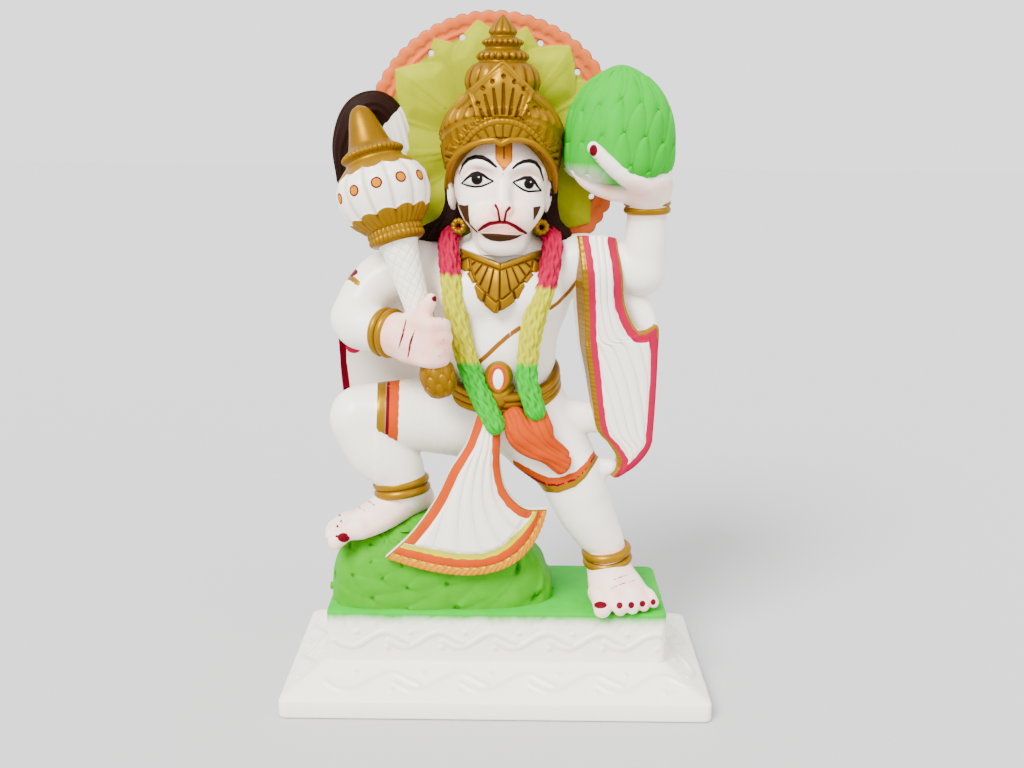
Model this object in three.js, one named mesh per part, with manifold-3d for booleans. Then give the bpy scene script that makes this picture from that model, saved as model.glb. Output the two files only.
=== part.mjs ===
// Painted marble figure of Hanuman with a mace and a mountain, carved in one block with its plinth.
// Millimetres, +Z up, +X to the viewer's right, the front faces -Y.
// The origin is the middle of the plinth's underside.
import * as THREE from "three";
import { mergeVertices } from "three/addons/utils/BufferGeometryUtils.js";
import Module from "manifold-3d";

const wasm = await Module();
wasm.setup();

// Plinth: a low upright foot, a sloping shoulder, and an upright step that the figure stands on.
const PLINTH_WIDTH = 240;
const PLINTH_DEPTH = 116;
const FOOT_HEIGHT = 11;
const SLOPE_HEIGHT = 13;
const STEP_WIDTH = 192;
const STEP_DEPTH = 70;
const STEP_HEIGHT = 30;
const CORNER_RADIUS = 4;
const EDGE_ROUNDING = 1.6;

// Waves carved on the front of the plinth.
const WAVE_PITCH = 34;
const WAVE_RELIEF = 1;
const WAVE_WIDTH = 1.5;

// Figure, from the top of the step to the top of the halo.
const FIGURE_HEIGHT = 327;

// Halo: a pierced disc with a scalloped rim, behind the head.
const HALO_DIAMETER = 146;
const HALO_THICKNESS = 8;
const HALO_SCALLOPS = 42;
const HALO_SCALLOP_DEPTH = 1.4;
const HALO_HOLE_DIAMETER = 3.4;
const HALO_HOLE_REACH = 0.835; // share of the radius
const HALO_HOLE_TURNS = [-35, -17, 4, 24, 48, 71, 93, 116]; // degrees from the top, towards +X
const PETAL_PAIRS = 8;
const PETAL_RELIEF = 4;

const STEP_TOP = FOOT_HEIGHT + SLOPE_HEIGHT + STEP_HEIGHT;
const FUSED = 1; // how far a piece runs into what carries it

// The pose is drawn on a grid of 327 units from the step's top to the halo's top.
const GRID_CELLS = 327;
const UNIT = FIGURE_HEIGHT / GRID_CELLS;
const DEPTH = new THREE.Vector3(0, 1, 0);
const FORWARD = new THREE.Vector3(0, -1, 0);
const UP = new THREE.Vector3(0, 0, 1);
const DOWN = new THREE.Vector3(0, 0, -1);

const at = (x, y, z) => new THREE.Vector3(x * UNIT, y * UNIT, STEP_TOP + z * UNIT);
const mix = THREE.MathUtils.lerp;
const wave = (turns) => Math.cos(2 * Math.PI * turns);

// A closed geometry as a solid, turned the right way out.
function solid(geometry) {
  const bare = new THREE.BufferGeometry();
  bare.setAttribute("position", geometry.getAttribute("position").clone());
  bare.setIndex(geometry.index);
  const merged = mergeVertices(bare, 1e-4);
  const vertProperties = merged.getAttribute("position").array;
  const faces = [];
  const index = merged.index.array;
  for (let i = 0; i < index.length; i += 3) {
    const [a, b, c] = [index[i], index[i + 1], index[i + 2]];
    if (a !== b && b !== c && c !== a) faces.push(a, b, c);
  }
  const make = (list) =>
    new wasm.Manifold(
      new wasm.Mesh({ numProp: 3, vertProperties, triVerts: new Uint32Array(list) }),
    );
  const made = make(faces);
  return made.volume() < 0 ? make(faces.reverse()) : made;
}

const fuse = (solids) => solids.reduce((whole, next) => whole.add(next));

// A solid skinned over closed rings of points. The first and the last ring are filled by a fan,
// or by the given faces, each three places round the ring.
function skin(rings, filling) {
  const count = rings[0].length;
  const last = (rings.length - 1) * count;
  const index = [];
  for (let ring = 0; ring < last; ring += count) {
    for (let i = 0; i < count; i++) {
      const a = ring + i;
      const b = ring + ((i + 1) % count);
      index.push(a, b, b + count, a, b + count, a + count);
    }
  }
  const fan = Array.from({ length: count - 2 }, (_, i) => [0, i + 1, i + 2]);
  for (const [a, b, c] of filling ?? fan) index.push(c, b, a, last + a, last + b, last + c);
  const geometry = new THREE.BufferGeometry().setFromPoints(rings.flat());
  geometry.setIndex(index);
  return solid(geometry);
}

// A rounded limb along a curve. Each station is [x, y, z, half width, half depth] on the grid,
// the width square to the depth axis unless another is given. The half depth may be left out.
function limb(stations, { sides = 8, across = DEPTH, perSpan = 1 } = {}) {
  const curve = new THREE.CatmullRomCurve3(stations.map(([x, y, z]) => at(x, y, z)));
  const spans = stations.length - 1;
  const steps = spans * perSpan;
  const section = (t) => {
    const place = t * spans;
    const from = Math.min(Math.floor(place), spans - 1);
    const share = place - from;
    const [a, b] = [stations[from], stations[from + 1]];
    const width = mix(a[3], b[3], share) * UNIT;
    const depth = mix(a[4] ?? a[3], b[4] ?? b[3], share) * UNIT;
    const along = curve.getTangent(t);
    const side = new THREE.Vector3().crossVectors(across, along).normalize();
    const front = new THREE.Vector3().crossVectors(along, side).normalize();
    return { centre: curve.getPoint(t), along, side, front, width, depth };
  };
  const ring = (s, scale, push) =>
    Array.from({ length: sides }, (_, i) => {
      const angle = (2 * Math.PI * i) / sides;
      return s.centre
        .clone()
        .addScaledVector(s.side, Math.cos(angle) * s.width * scale)
        .addScaledVector(s.front, Math.sin(angle) * s.depth * scale)
        .addScaledVector(s.along, push * Math.min(s.width, s.depth));
    });
  const domed = [0.62];
  const start = section(0);
  const end = section(1);
  const rings = domed.map((scale) => ring(start, scale, -Math.sqrt(1 - scale * scale)));
  for (let k = 0; k <= steps; k++) rings.push(ring(section(k / steps), 1, 0));
  domed.forEach((scale) => rings.push(ring(end, scale, Math.sqrt(1 - scale * scale))));
  return skin(rings);
}

// An egg-shaped mass with its three half sizes on the grid.
function mass([x, y, z], [halfX, halfY, halfZ], sides = 10, rows = 6) {
  const ball = new THREE.SphereGeometry(1, sides, rows);
  ball.rotateX(Math.PI / 2);
  ball.scale(halfX * UNIT, halfY * UNIT, halfZ * UNIT);
  const centre = at(x, y, z);
  ball.translate(centre.x, centre.y, centre.z);
  return solid(ball);
}

// A ring ornament round a limb, its axis along the given direction.
function bangle([x, y, z], direction, radius, thickness, sides) {
  const ring = new THREE.TorusGeometry(radius * UNIT, thickness * UNIT, 3, sides);
  const axis = new THREE.Vector3(...direction).normalize();
  ring.applyQuaternion(new THREE.Quaternion().setFromUnitVectors(UP, axis));
  const centre = at(x, y, z);
  ring.translate(centre.x, centre.y, centre.z);
  return solid(ring);
}

// A turned form between two grid points. Each station is [share of the way, radius, flute depth].
function turned(foot, tip, stations, { sides, flutes = 0 }) {
  const start = at(...foot);
  const end = at(...tip);
  const along = end.clone().sub(start);
  const side = new THREE.Vector3().crossVectors(DEPTH, along).normalize();
  const front = new THREE.Vector3().crossVectors(along, side).normalize();
  return skin(
    stations.map(([share, radius, flute = 0]) =>
      Array.from({ length: sides }, (_, i) => {
        const turn = i / sides;
        const reach = (radius + flute * wave(turn * flutes)) * UNIT;
        return start
          .clone()
          .addScaledVector(along, share)
          .addScaledVector(side, reach * Math.cos(2 * Math.PI * turn))
          .addScaledVector(front, reach * Math.sin(2 * Math.PI * turn));
      }),
    ),
  );
}

// Carved cloth, or a row of fingers. Each row is three grid points: one edge, a control point and
// the other edge of an arc. Ribs stand out against the direction that leads into the stone. A row
// may lean: its back then lies to one side of its front, by a share of the thickness.
function cloth(rows, { thickness, ribs, relief, inward = DEPTH, leans = [] }) {
  const columns = 2 * ribs;
  const rings = rows.map(([first, control, last], r) => {
    const curve = new THREE.QuadraticBezierCurve3(at(...first), at(...control), at(...last));
    const fade = Math.min(1, r / 2);
    const sideways = new THREE.Vector3((leans[r] ?? 0) * thickness * UNIT, 0, 0);
    const place = (c, push) => curve.getPoint(c / columns).addScaledVector(inward, push * UNIT);
    const front = Array.from({ length: columns + 1 }, (_, c) => place(c, fade * relief * wave(c / 2)));
    const back = Array.from({ length: ribs + 1 }, (_, c) => {
      return place(columns - 2 * c, thickness).add(sideways);
    });
    return [...front, ...back];
  });
  const hem = Array.from({ length: ribs }, (_, rib) => {
    const [start, crest, end] = [2 * rib, 2 * rib + 1, 2 * rib + 2];
    const behind = 3 * ribs + 1 - rib;
    return [[start, crest, behind], [crest, behind - 1, behind], [crest, end, behind - 1]];
  });
  return skin(rings, hem.flat());
}

// A rectangle with round corners, at one height.
function roundedRing(width, depth, radius, z) {
  const [halfX, halfY] = [width / 2 - radius, depth / 2 - radius];
  const corners = [[1, 1], [-1, 1], [-1, -1], [1, -1]];
  return corners.flatMap(([signX, signY], quarter) =>
    [0, 1, 2].map((step) => {
      const angle = (quarter + step / 2) * (Math.PI / 2);
      const x = signX * halfX + radius * Math.cos(angle);
      return new THREE.Vector3(x, signY * halfY + radius * Math.sin(angle), z);
    }),
  );
}

function plinth() {
  const edge = EDGE_ROUNDING;
  const foot = (inset, z) =>
    roundedRing(PLINTH_WIDTH - 2 * inset, PLINTH_DEPTH - 2 * inset, CORNER_RADIUS, z);
  const step = (inset, z) =>
    roundedRing(STEP_WIDTH - 2 * inset, STEP_DEPTH - 2 * inset, CORNER_RADIUS, z);
  return skin([
    foot(edge / 2, 0),
    foot(0, edge),
    foot(0, FOOT_HEIGHT - edge),
    foot(edge, FOOT_HEIGHT),
    step(0, FOOT_HEIGHT + SLOPE_HEIGHT),
    step(0, STEP_TOP - edge),
    step(edge, STEP_TOP),
  ]);
}

// Raised waves along a face. Start and end are the ends of the face's middle line, rise is the
// direction up the face, and out is square to it.
function waveBand(start, end, rise, out) {
  const length = start.distanceTo(end);
  const count = Math.floor(length / WAVE_PITCH);
  const along = end.clone().sub(start).normalize();
  const spot = (run, height) =>
    start
      .clone()
      .addScaledVector(along, run + (length - count * WAVE_PITCH) / 2)
      .addScaledVector(rise, height);
  const bend = 0.15 * WAVE_PITCH;
  const shares = [0, 0.35, 0.7, 1];
  const ridge = (middle) =>
    skin(
      shares.map((share) => {
        const full = 0.3 + 0.7 * Math.sin(Math.PI * share);
        const height = -bend * wave(0.1 + 0.9 * share);
        const centre = spot(middle + (share - 0.5) * 0.9 * WAVE_PITCH, height);
        const edge = (side) =>
          centre
            .clone()
            .addScaledVector(rise, (side * full * WAVE_WIDTH) / 2)
            .addScaledVector(out, -FUSED);
        return [edge(1), centre.clone().addScaledVector(out, full * WAVE_RELIEF), edge(-1)];
      }),
    );
  return Array.from({ length: count }, (_, i) => ridge((i + 0.5) * WAVE_PITCH));
}

function plinthCarving() {
  const inward = (PLINTH_DEPTH - STEP_DEPTH) / 2;
  const level = (halfLength, y, z) => [
    new THREE.Vector3(-halfLength, y, z),
    new THREE.Vector3(halfLength, y, z),
  ];
  const slope = level(
    (PLINTH_WIDTH + STEP_WIDTH) / 4 - CORNER_RADIUS,
    -(PLINTH_DEPTH + STEP_DEPTH) / 4,
    FOOT_HEIGHT + SLOPE_HEIGHT / 2,
  );
  const step = level(STEP_WIDTH / 2 - CORNER_RADIUS, -STEP_DEPTH / 2, STEP_TOP - STEP_HEIGHT * 0.6);
  const slopeRise = new THREE.Vector3(0, inward, SLOPE_HEIGHT).normalize();
  const slopeOut = new THREE.Vector3(0, -SLOPE_HEIGHT, inward).normalize();
  return [
    ...waveBand(...slope, slopeRise, slopeOut),
    ...waveBand(...step, UP, FORWARD),
  ];
}

// The rock under the raised foot, cut with slanting ribs. Stations: x, top and half depth.
function mound() {
  const stations = [
    [-92.5, 22, 20], [-88, 34, 27.5], [-77, 41, 31], [-62, 45.5, 32], [-46, 50, 32],
    [-32, 50, 31.5], [-14, 42, 31], [2, 34.5, 29], [15, 30, 26], [25, 21.5, 21],
    [29, 12, 17],
  ];
  const points = 13;
  const squareness = 0.62;
  const shape = (value) => Math.sign(value) * Math.abs(value) ** squareness;
  return skin(
    stations.map(([x, top, half], s) =>
      Array.from({ length: points }, (_, i) => {
        const angle = (Math.PI * i) / (points - 1);
        const rib = 1 + 0.05 * wave(s / 2 + i / 4) * Math.sin(angle);
        const place = at(x, shape(Math.cos(angle)) * half * rib, 0);
        place.z = STEP_TOP - FUSED + shape(Math.sin(angle)) * (top * rib * UNIT + FUSED);
        return place;
      }),
    ),
  );
}

// Stations of a bangle of one or two cords round a limb, between two grid points on its axis.
function ringed(from, to, radius, swell, cords = 2) {
  const [start, end] = [new THREE.Vector3(...from), new THREE.Vector3(...to)];
  return Array.from({ length: 2 * cords + 1 }, (_, i) => {
    const spot = start.clone().lerp(end, i / (2 * cords));
    return [...spot.toArray(), radius + (i % 2) * swell];
  });
}

// The bent leg on the viewer's left, its foot flat on the rock.
function raisedLeg() {
  return [
    limb(
      [[-16, 4, 104, 24, 23], [-40, -1, 106, 21], [-62, -6, 107, 18.5], [-78.2, -9, 108, 15.5]],
      { sides: 10 },
    ),
    limb([
      [-78, -9, 105, 16.5], [-68, -10, 88, 17.5, 16], [-57.5, -8, 76, 14.6],
      ...ringed([-55.8, -6.5, 70.2], [-54.3, -7.5, 60.4], 13.5, 2.8),
    ]),
    limb(
      [[-42, 3, 53, 9, 10], [-54, -5, 55, 12, 11], [-67, -14, 49, 12.5, 9], [-80, -22, 43, 12, 6.5]],
      { across: UP },
    ),
    cloth(
      [
        [[-74, -30, 48], [-76, -18, 50], [-74, -6, 48]],
        [[-83, -33, 43.5], [-88, -20, 46], [-86, -6, 45]],
        [[-89, -34, 39], [-96, -22, 41], [-92, -6, 41]],
      ],
      { thickness: 7, ribs: 5, relief: 1.2, inward: DOWN },
    ),
  ];
}

// The straight leg on the viewer's right, its foot flat on the plinth.
function straightLeg() {
  return [
    limb(
      [[12, 4, 108, 25, 23], [26, 0, 92, 22.5, 21], [39.5, -5, 76, 17.5, 17], [45, -6, 66, 15.5]],
      { sides: 10 },
    ),
    limb([
      [42, -6, 70, 16.5], [48.8, -5, 54, 16.3], [56, -3.4, 40, 14], [61.5, -2.4, 31, 11.8],
      ...ringed([63, -2.2, 28], [64.6, -1.4, 17], 12, 2.6),
      [66.5, 0, 14, 11.5],
    ]),
    limb(
      [[64, 8, 8.5, 9, 8.5], [65, -3, 11, 12, 11], [68, -13, 8.5, 15.5, 8], [70.5, -21, 5.5, 17, 5.5]],
      { across: UP },
    ),
    cloth(
      [
        [[54, -16, 11], [70, -18, 12.5], [86, -16, 10]],
        [[52.5, -26, 8], [70, -31, 8], [88.5, -26, 7.5]],
        [[53.5, -33, 5], [70, -40, 4.5], [90.5, -31.5, 4.5]],
      ],
      { thickness: 9, ribs: 5, relief: 1.2, inward: DOWN },
    ),
  ];
}

// Trunk and neck.
function torso() {
  return [
    limb(
      [
        [2, 5, 96, 30, 22], [2, 4, 113, 35, 25], [1.5, 4, 133, 31, 22.5], [0, 4, 152, 33, 23],
        [0, 4, 174, 41, 25], [-1, 5, 190, 46, 23], [-1, 6, 200, 42, 17],
      ],
      { sides: 12 },
    ),
    limb([[0, 5, 194, 21, 17], [0, 2, 206, 17, 16], [0.5, -1, 220, 18, 17]]),
  ];
}

// The arm on the viewer's left, bent to hold the mace at the chest.
function maceArm() {
  return [
    limb([
      [-34, 6, 190, 15], [-57, 6, 185, 15.5], [-70, 3, 177, 14.8], [-77, -2, 166, 14.2],
      [-76, -11, 158, 12.5],
    ]),
    limb([
      [-80, -6, 161, 13], [-68, -16, 157.5, 12],
      ...ringed([-64, -18.5, 157], [-56, -23.5, 156.5], 11, 2.8, 1),
      [-48, -28, 156, 12, 11],
      [-40, -33, 156, 12, 10.5],
    ]),
    cloth(
      [
        [[-46, -36, 168], [-47, -38, 156], [-46, -36, 144.5]],
        [[-38, -42, 168.5], [-36, -46, 156], [-38, -41, 143.5]],
        [[-31, -41.5, 167], [-28, -44, 156], [-31, -40, 145]],
      ],
      { thickness: 9, ribs: 4, relief: 1.2 },
    ),
    limb([[-42, -36, 164, 5], [-35, -38, 177, 4]], { sides: 5 }),
  ];
}

// The arm on the viewer's right, raised to carry the mountain on its palm.
function mountainArm() {
  return [
    limb([[30, 6, 191, 15], [52, 5, 192.5, 14.5], [66, 3, 189.5, 13.5], [77, 1, 187, 12.2]]),
    limb([
      [78.8, 1, 189, 12.2], [79.1, 0, 206, 11.6],
      ...ringed([79.8, 0, 220.4], [79.6, 0, 228], 10.6, 2.6, 1),
      [79.5, 0, 232, 11],
    ]),
    mass([78, -2, 233.5], [15, 16.5, 7.5], 9, 5),
    cloth(
      [
        [[74, -15, 230], [75, -2, 228.5], [74, 13, 230]],
        [[60, -15, 233], [60, -2, 232], [60, 13, 233]],
        [[47, -14, 238], [46, -2, 237], [47, 12, 238]],
        [[38.5, -12, 246], [37.5, -2, 245], [38.5, 10, 246]],
      ],
      { thickness: 8, ribs: 4, relief: 1.2, inward: UP },
    ),
    limb([[77, -15, 236, 5.6], [68, -23, 240, 5], [57, -26, 249, 3.8]], { sides: 5 }),
  ];
}

// The leafy mountain: a dome of slanting pointed leaves. Stations: height and radius.
function mountain() {
  const stations = [
    [236.5, 14], [239.5, 26], [246, 29.6], [258, 29.8], [269, 28.4], [279, 25], [287, 19.4],
    [293, 12.5], [297.6, 4],
  ];
  const sides = 16;
  return skin(
    stations.map(([z, radius], s) =>
      Array.from({ length: sides }, (_, i) => {
        const angle = (2 * Math.PI * i) / sides;
        const reach = radius * (1 + 0.035 * wave(i / 2 + s / 3));
        return at(63.2 + Math.cos(angle) * reach, -2 + Math.sin(angle) * reach * 0.92, z);
      }),
    ),
  );
}

// The mace, from the bud below the hand to the point of its cap. The middle is fluted.
function mace() {
  const foot = [-28.5, -41, 126];
  const tip = [-76, -3.3, 275.5];
  const stations = [
    [0, 3], [0.1, 8.6], [0.125, 6.8], [0.3, 6.6], [0.52, 10.4],
    [0.535, 14.4], [0.575, 14.6], [0.615, 20.4, 0.6], [0.66, 23.4, 1],
    [0.71, 24.6, 1.3], [0.75, 23.4, 1], [0.785, 18, 0.6], [0.81, 15], [0.825, 16],
    [0.84, 15.8], [0.87, 11.4], [0.98, 6], [1, 2.2],
  ];
  return turned(foot, tip, stations, { sides: 24, flutes: 12 });
}

// Head, with the muzzle, ears, hair and ear rings.
function head() {
  const middle = 0.5;
  const paired = [-1, 1].flatMap((side) => {
    const x = (out) => middle + side * out;
    const hairTip = side < 0 ? 44 : 37;
    return [
      limb([[x(24), -1, 238, 2.5, 3], [x(27.5), -1, 230, 3.2, 5], [x(25.5), -3, 219, 2.4, 3.4]], {
        sides: 5,
      }),
      limb([[x(22), 4, 240, 8], [x(26), 5, 222, 6.5], [x(31), 3, 211, 6], [x(hairTip), 2, 207, 4]], {
        sides: 6,
      }),
      bangle([x(22.5), -8, 212.5], [side * 0.35, -1, 0], 3.4, 1.6, 6),
    ];
  });
  return [
    mass([middle, -3, 236], [24.5, 25, 29], 12, 7),
    mass([middle, -21, 216.5], [17, 15.5, 12], 9, 6),
    mass([middle, -27, 229], [6, 9, 11], 6, 5),
    ...paired,
  ];
}

// Tall crown: a ribbed bowl on a slanting rim, a pointed front plate, a dome and a finial.
// Stations: height, radius, slant towards the front, and rib depth.
function crown() {
  const stations = [
    [236, 19, 0.7], [236, 28.6, 0.7], [248, 31.4, 0.62, 0.8], [259, 33.4, 0.42, 0.9],
    [269, 30.4, 0.26, 0.9], [278, 24, 0.1, 0.6], [285, 18.2, 0], [291, 19.6, 0, 0.8],
    [299, 16.4, 0, 0.6], [302, 10, 0],
  ];
  const sides = 20;
  const body = skin(
    stations.map(([z, radius, slant, rib = 0]) =>
      Array.from({ length: sides }, (_, i) => {
        const turn = i / sides;
        const reach = radius + rib * wave((turn * sides) / 2);
        const y = reach * 0.94 * Math.sin(2 * Math.PI * turn);
        return at(0.5 + reach * Math.cos(2 * Math.PI * turn), y - 1, z - slant * y);
      }),
    ),
  );
  const plate = cloth(
    [
      [[-28.5, -9, 243], [0.5, -54, 279], [29.5, -9, 243]],
      [[-31, -10, 252], [0.5, -57, 284], [32, -10, 252]],
      [[-31, -9, 263], [0.5, -58, 291], [32, -9, 263]],
      [[-23, -13, 278], [0.5, -54, 297], [24, -13, 278]],
      [[-4, -26, 294], [0.5, -31, 302], [5, -26, 294]],
    ],
    { thickness: 9, ribs: 6, relief: 1 },
  );
  const finial = turned([0.5, -1, 300], [0.5, -1, 322], [
    [0, 12], [0.23, 13.4], [0.34, 9.2], [0.48, 10.6], [0.57, 6.8], [0.7, 7.6], [1, 1.2],
  ], { sides: 10 });
  return [body, plate, finial];
}

// Scalloped disc with a ring of pointed petals, broad and narrow by turns, and a ring of holes.
function halo() {
  const radius = HALO_DIAMETER / 2;
  const centre = at(-4, 22, GRID_CELLS);
  centre.z -= radius;
  const round = (reach, angle) => new THREE.Vector2(reach * Math.cos(angle), reach * Math.sin(angle));
  const outline = Array.from({ length: 2 * HALO_SCALLOPS }, (_, i) =>
    round(radius - (i % 2) * HALO_SCALLOP_DEPTH, (Math.PI * i) / HALO_SCALLOPS + Math.PI / 2),
  );
  const rim = new THREE.Shape(outline);
  for (const turn of HALO_HOLE_TURNS) {
    const spot = round(HALO_HOLE_REACH * radius, THREE.MathUtils.degToRad(90 - turn));
    rim.holes.push(new THREE.Path().absarc(spot.x, spot.y, HALO_HOLE_DIAMETER / 2, 0, 2 * Math.PI));
  }
  const disc = new THREE.ExtrudeGeometry(rim, {
    depth: HALO_THICKNESS,
    bevelEnabled: false,
    curveSegments: 3,
  });
  disc.rotateX(Math.PI / 2);
  disc.translate(centre.x, centre.y + HALO_THICKNESS, centre.z);
  const petal = (angle, inner, outer, width) => {
    const leaf = new THREE.OctahedronGeometry(1);
    leaf.scale(((outer - inner) / 2) * radius, PETAL_RELIEF + FUSED, (width / 2) * radius);
    leaf.rotateY(-angle);
    const spot = round(((inner + outer) / 2) * radius, angle);
    leaf.translate(centre.x + spot.x, centre.y + FUSED, centre.z + spot.y);
    return solid(leaf);
  };
  const petals = Array.from({ length: PETAL_PAIRS }, (_, k) => {
    const angle = (2 * Math.PI * (k + 0.18)) / PETAL_PAIRS + Math.PI / 2;
    const between = angle + Math.PI / PETAL_PAIRS;
    return [petal(angle, 0.24, 0.88, 0.4), petal(between, 0.4, 0.86, 0.26)];
  });
  return [solid(disc), ...petals.flat()];
}

// The tail climbs the back, passes the shoulder and hooks over to a hanging tuft.
function tail() {
  return limb(
    [
      [4, 27, 104, 9], [-24, 31, 112, 9], [-46, 31, 138, 9], [-54, 29, 175, 8.6],
      [-54, 25, 230, 8.4], [-58.5, 23, 263, 8], [-67, 22, 274.5, 8.6], [-78.5, 21, 271, 9.4],
      [-85, 19, 255, 8.6], [-87.5, 17, 236, 4],
    ],
    { sides: 8 },
  );
}

// The shawl: one fall in front of the shoulder on the viewer's right, the rest across the back.
function shawl() {
  const fall = [
    [[40, 0, 207], [53, -13, 210], [64, 0, 206]],
    [[43.8, -14, 190], [55.5, -18, 192], [66.8, -12, 190]],
    [[45.6, -14, 172], [57, -18, 171], [69, -12, 171.5]],
    [[46.6, -14, 156], [61, -18, 150], [77, -11, 157]],
    [[47.2, -14, 147], [66, -18, 146], [87.4, -9, 160]],
    [[49.4, -14, 133], [69, -18, 130], [88.2, -9, 143]],
    [[51.4, -14, 119], [70, -18, 114], [88, -9, 118]],
    [[54.6, -14, 102], [72, -18, 98], [87.2, -10, 98]],
    [[61, -14, 94], [75, -17, 90], [86.8, -10, 93]],
    [[66.2, -14, 85.4], [76, -16, 82], [84, -10.5, 87]],
    [[65.8, -13.5, 78.3], [71.5, -15, 76], [77, -11, 79]],
    [[63.3, -13, 74.4], [65.5, -14, 73], [67.5, -11.5, 73]],
  ];
  const leans = [0, -0.35, -0.42, -0.34, -0.28, -0.18, -0.12, -0.08];
  const back = [
    [[-42, 18, 203], [0, 40, 206], [60, 14, 204]],
    [[-73, 19, 184], [-10, 50, 180], [68, 13, 186]],
    [[-90, 17, 160], [-50, 46, 154], [12, 29, 166]],
    [[-91, 16, 134], [-60, 36, 124], [-22, 28, 138]],
    [[-88, 12, 106], [-62, 26, 96], [-36, 26, 108]],
  ];
  return [
    cloth(fall, { thickness: 12, ribs: 4, relief: 1.2, leans }),
    cloth(back, { thickness: 6, ribs: 4, relief: 1.6, inward: FORWARD }),
    limb([[62, 9, 180, 9.5], [75, 5, 166, 8], [82.5, -2, 156, 5.5]], { sides: 6 }),
  ];
}

// Stone left by the carver between the shawl or the loincloth and the limbs.
function bridges() {
  return [
    limb([[36, 0, 106, 9, 8], [60, -6, 105, 8.5, 6]], { sides: 5 }),
    limb([[48, -3, 74, 8, 7], [64, -8, 78, 5, 5]], { sides: 5 }),
    limb([[14, -22, 60, 4, 6], [26, -18, 57, 4, 6], [38, -9, 60, 6, 7]], { sides: 5 }),
  ];
}

// The front flap of the loincloth, spreading from the belt to a curved hem.
function loincloth() {
  const rows = [
    [[-11, -27, 118], [-5, -30, 117], [2, -27, 118]],
    [[-17, -30.5, 98], [-8, -36, 97], [1.5, -30.5, 98]],
    [[-26, -32, 83], [-11, -39, 79], [1.5, -31, 85]],
    [[-34, -33.5, 66], [-11, -40.5, 59], [5, -31, 71]],
    [[-47, -35, 47], [-2, -42, 30], [15, -29, 60]],
    [[-62, -35, 32], [17, -44, 6], [28, -22, 57]],
  ];
  return cloth(rows, { thickness: 5, ribs: 6, relief: 1.2 });
}

// The sash: knotted at the belt, both ends thrown to the thigh on the viewer's right.
function sash() {
  return [
    mass([6, -27, 112], [9, 8, 7.5], 7, 5),
    limb([[4, -29, 110, 7, 5], [16, -30, 99, 8.5, 5], [27, -28, 91, 6, 4.5], [36, -25, 85, 7.5, 4.5]], {
      sides: 6,
    }),
    limb([[8, -29, 113, 6, 4.5], [20, -29, 107, 7.5, 4.5], [29, -26, 97, 6, 4]], { sides: 6 }),
  ];
}

// Belt of three cords that dips at the front, with an oval clasp on its upper edge.
function belt() {
  const foot = [0.9, 6.6, 123.1];
  const top = [1.1, 1.4, 135.5];
  const cords = 3;
  const [halfWidthBelow, halfWidthAbove, halfDepth, bulge] = [32.8, 31.2, 25.4, 1.8];
  const stations = Array.from({ length: 2 * cords + 1 }, (_, i) => {
    const share = i / (2 * cords);
    const swell = (i % 2) * bulge;
    const centre = foot.map((from, axis) => mix(from, top[axis], share));
    return [...centre, mix(halfWidthBelow, halfWidthAbove, share) + swell, halfDepth + swell];
  });
  return [
    limb(stations, { sides: 12 }),
    mass([0, -24, 134], [7.8, 6, 8.8], 8, 4),
  ];
}

function garland() {
  const strands = [
    [[-26.5, 2, 209, 5.2], [-27.5, -12, 202, 5.4], [-25.5, -19, 182, 5.6], [-22.3, -22.5, 162, 5.7],
      [-17.8, -23.5, 145, 5.7], [-11, -26, 127, 5.7], [-0.5, -32, 108, 5]],
    [[27, 2, 209, 5.2], [28.3, -12, 201, 5.4], [24.6, -18, 182, 5.7], [18.4, -22, 163, 5.6],
      [15.5, -23, 143, 5.4], [15.8, -26, 130, 5.6], [20.8, -29, 115, 5.4]],
  ];
  return strands.map((stations) => limb(stations, { sides: 5 }));
}

function necklace() {
  return cloth(
    [
      [[-22.5, -8, 203], [-1, -31, 184], [23.5, -8, 203]],
      [[-19, -15, 194], [-1, -37, 166], [18, -15, 194]],
      [[-12, -18, 184], [-1, -36, 158], [10, -18, 184]],
      [[-5, -21, 174], [-1, -30, 164], [3, -21, 174]],
    ],
    { thickness: 6, ribs: 5, relief: 0.9 },
  );
}

// A solid as a three.js geometry.
function geometryOf(made) {
  const mesh = made.getMesh();
  const positions = new Float32Array(mesh.numVert * 3);
  for (let v = 0; v < mesh.numVert; v++) {
    positions.set(mesh.vertProperties.subarray(v * mesh.numProp, v * mesh.numProp + 3), v * 3);
  }
  const geometry = new THREE.BufferGeometry();
  geometry.setAttribute("position", new THREE.BufferAttribute(positions, 3));
  geometry.setIndex(new THREE.BufferAttribute(mesh.triVerts, 1));
  geometry.computeVertexNormals();
  return geometry;
}

const carved = fuse([
  plinth(),
  ...plinthCarving(),
  mound(),
  ...raisedLeg(),
  ...straightLeg(),
  ...torso(),
  ...maceArm(),
  ...mountainArm(),
  mountain(),
  mace(),
  ...head(),
  ...crown(),
  ...halo(),
  tail(),
  ...shawl(),
  ...bridges(),
  loincloth(),
  ...sash(),
  ...belt(),
  ...garland(),
  necklace(),
]);

// The whole block, without the pockets shut in where carved forms meet.
const bodies = solid(geometryOf(carved)).decompose();
const statue = bodies.reduce((most, next) => (next.volume() > most.volume() ? next : most));

const marble = new THREE.MeshStandardMaterial({
  color: new THREE.Color(0.9, 0.87, 0.82),
  roughness: 0.35,
  metalness: 0,
});
const hanuman = new THREE.Mesh(geometryOf(statue), marble);
hanuman.name = "hanuman_statue";

const part = new THREE.Group();
part.add(hanuman);

export default part;
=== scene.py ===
"""Blender 4.5 scene of a painted marble hanuman figure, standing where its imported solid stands."""

import math

import bpy
import numpy as np
from mathutils import Matrix, Vector


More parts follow.
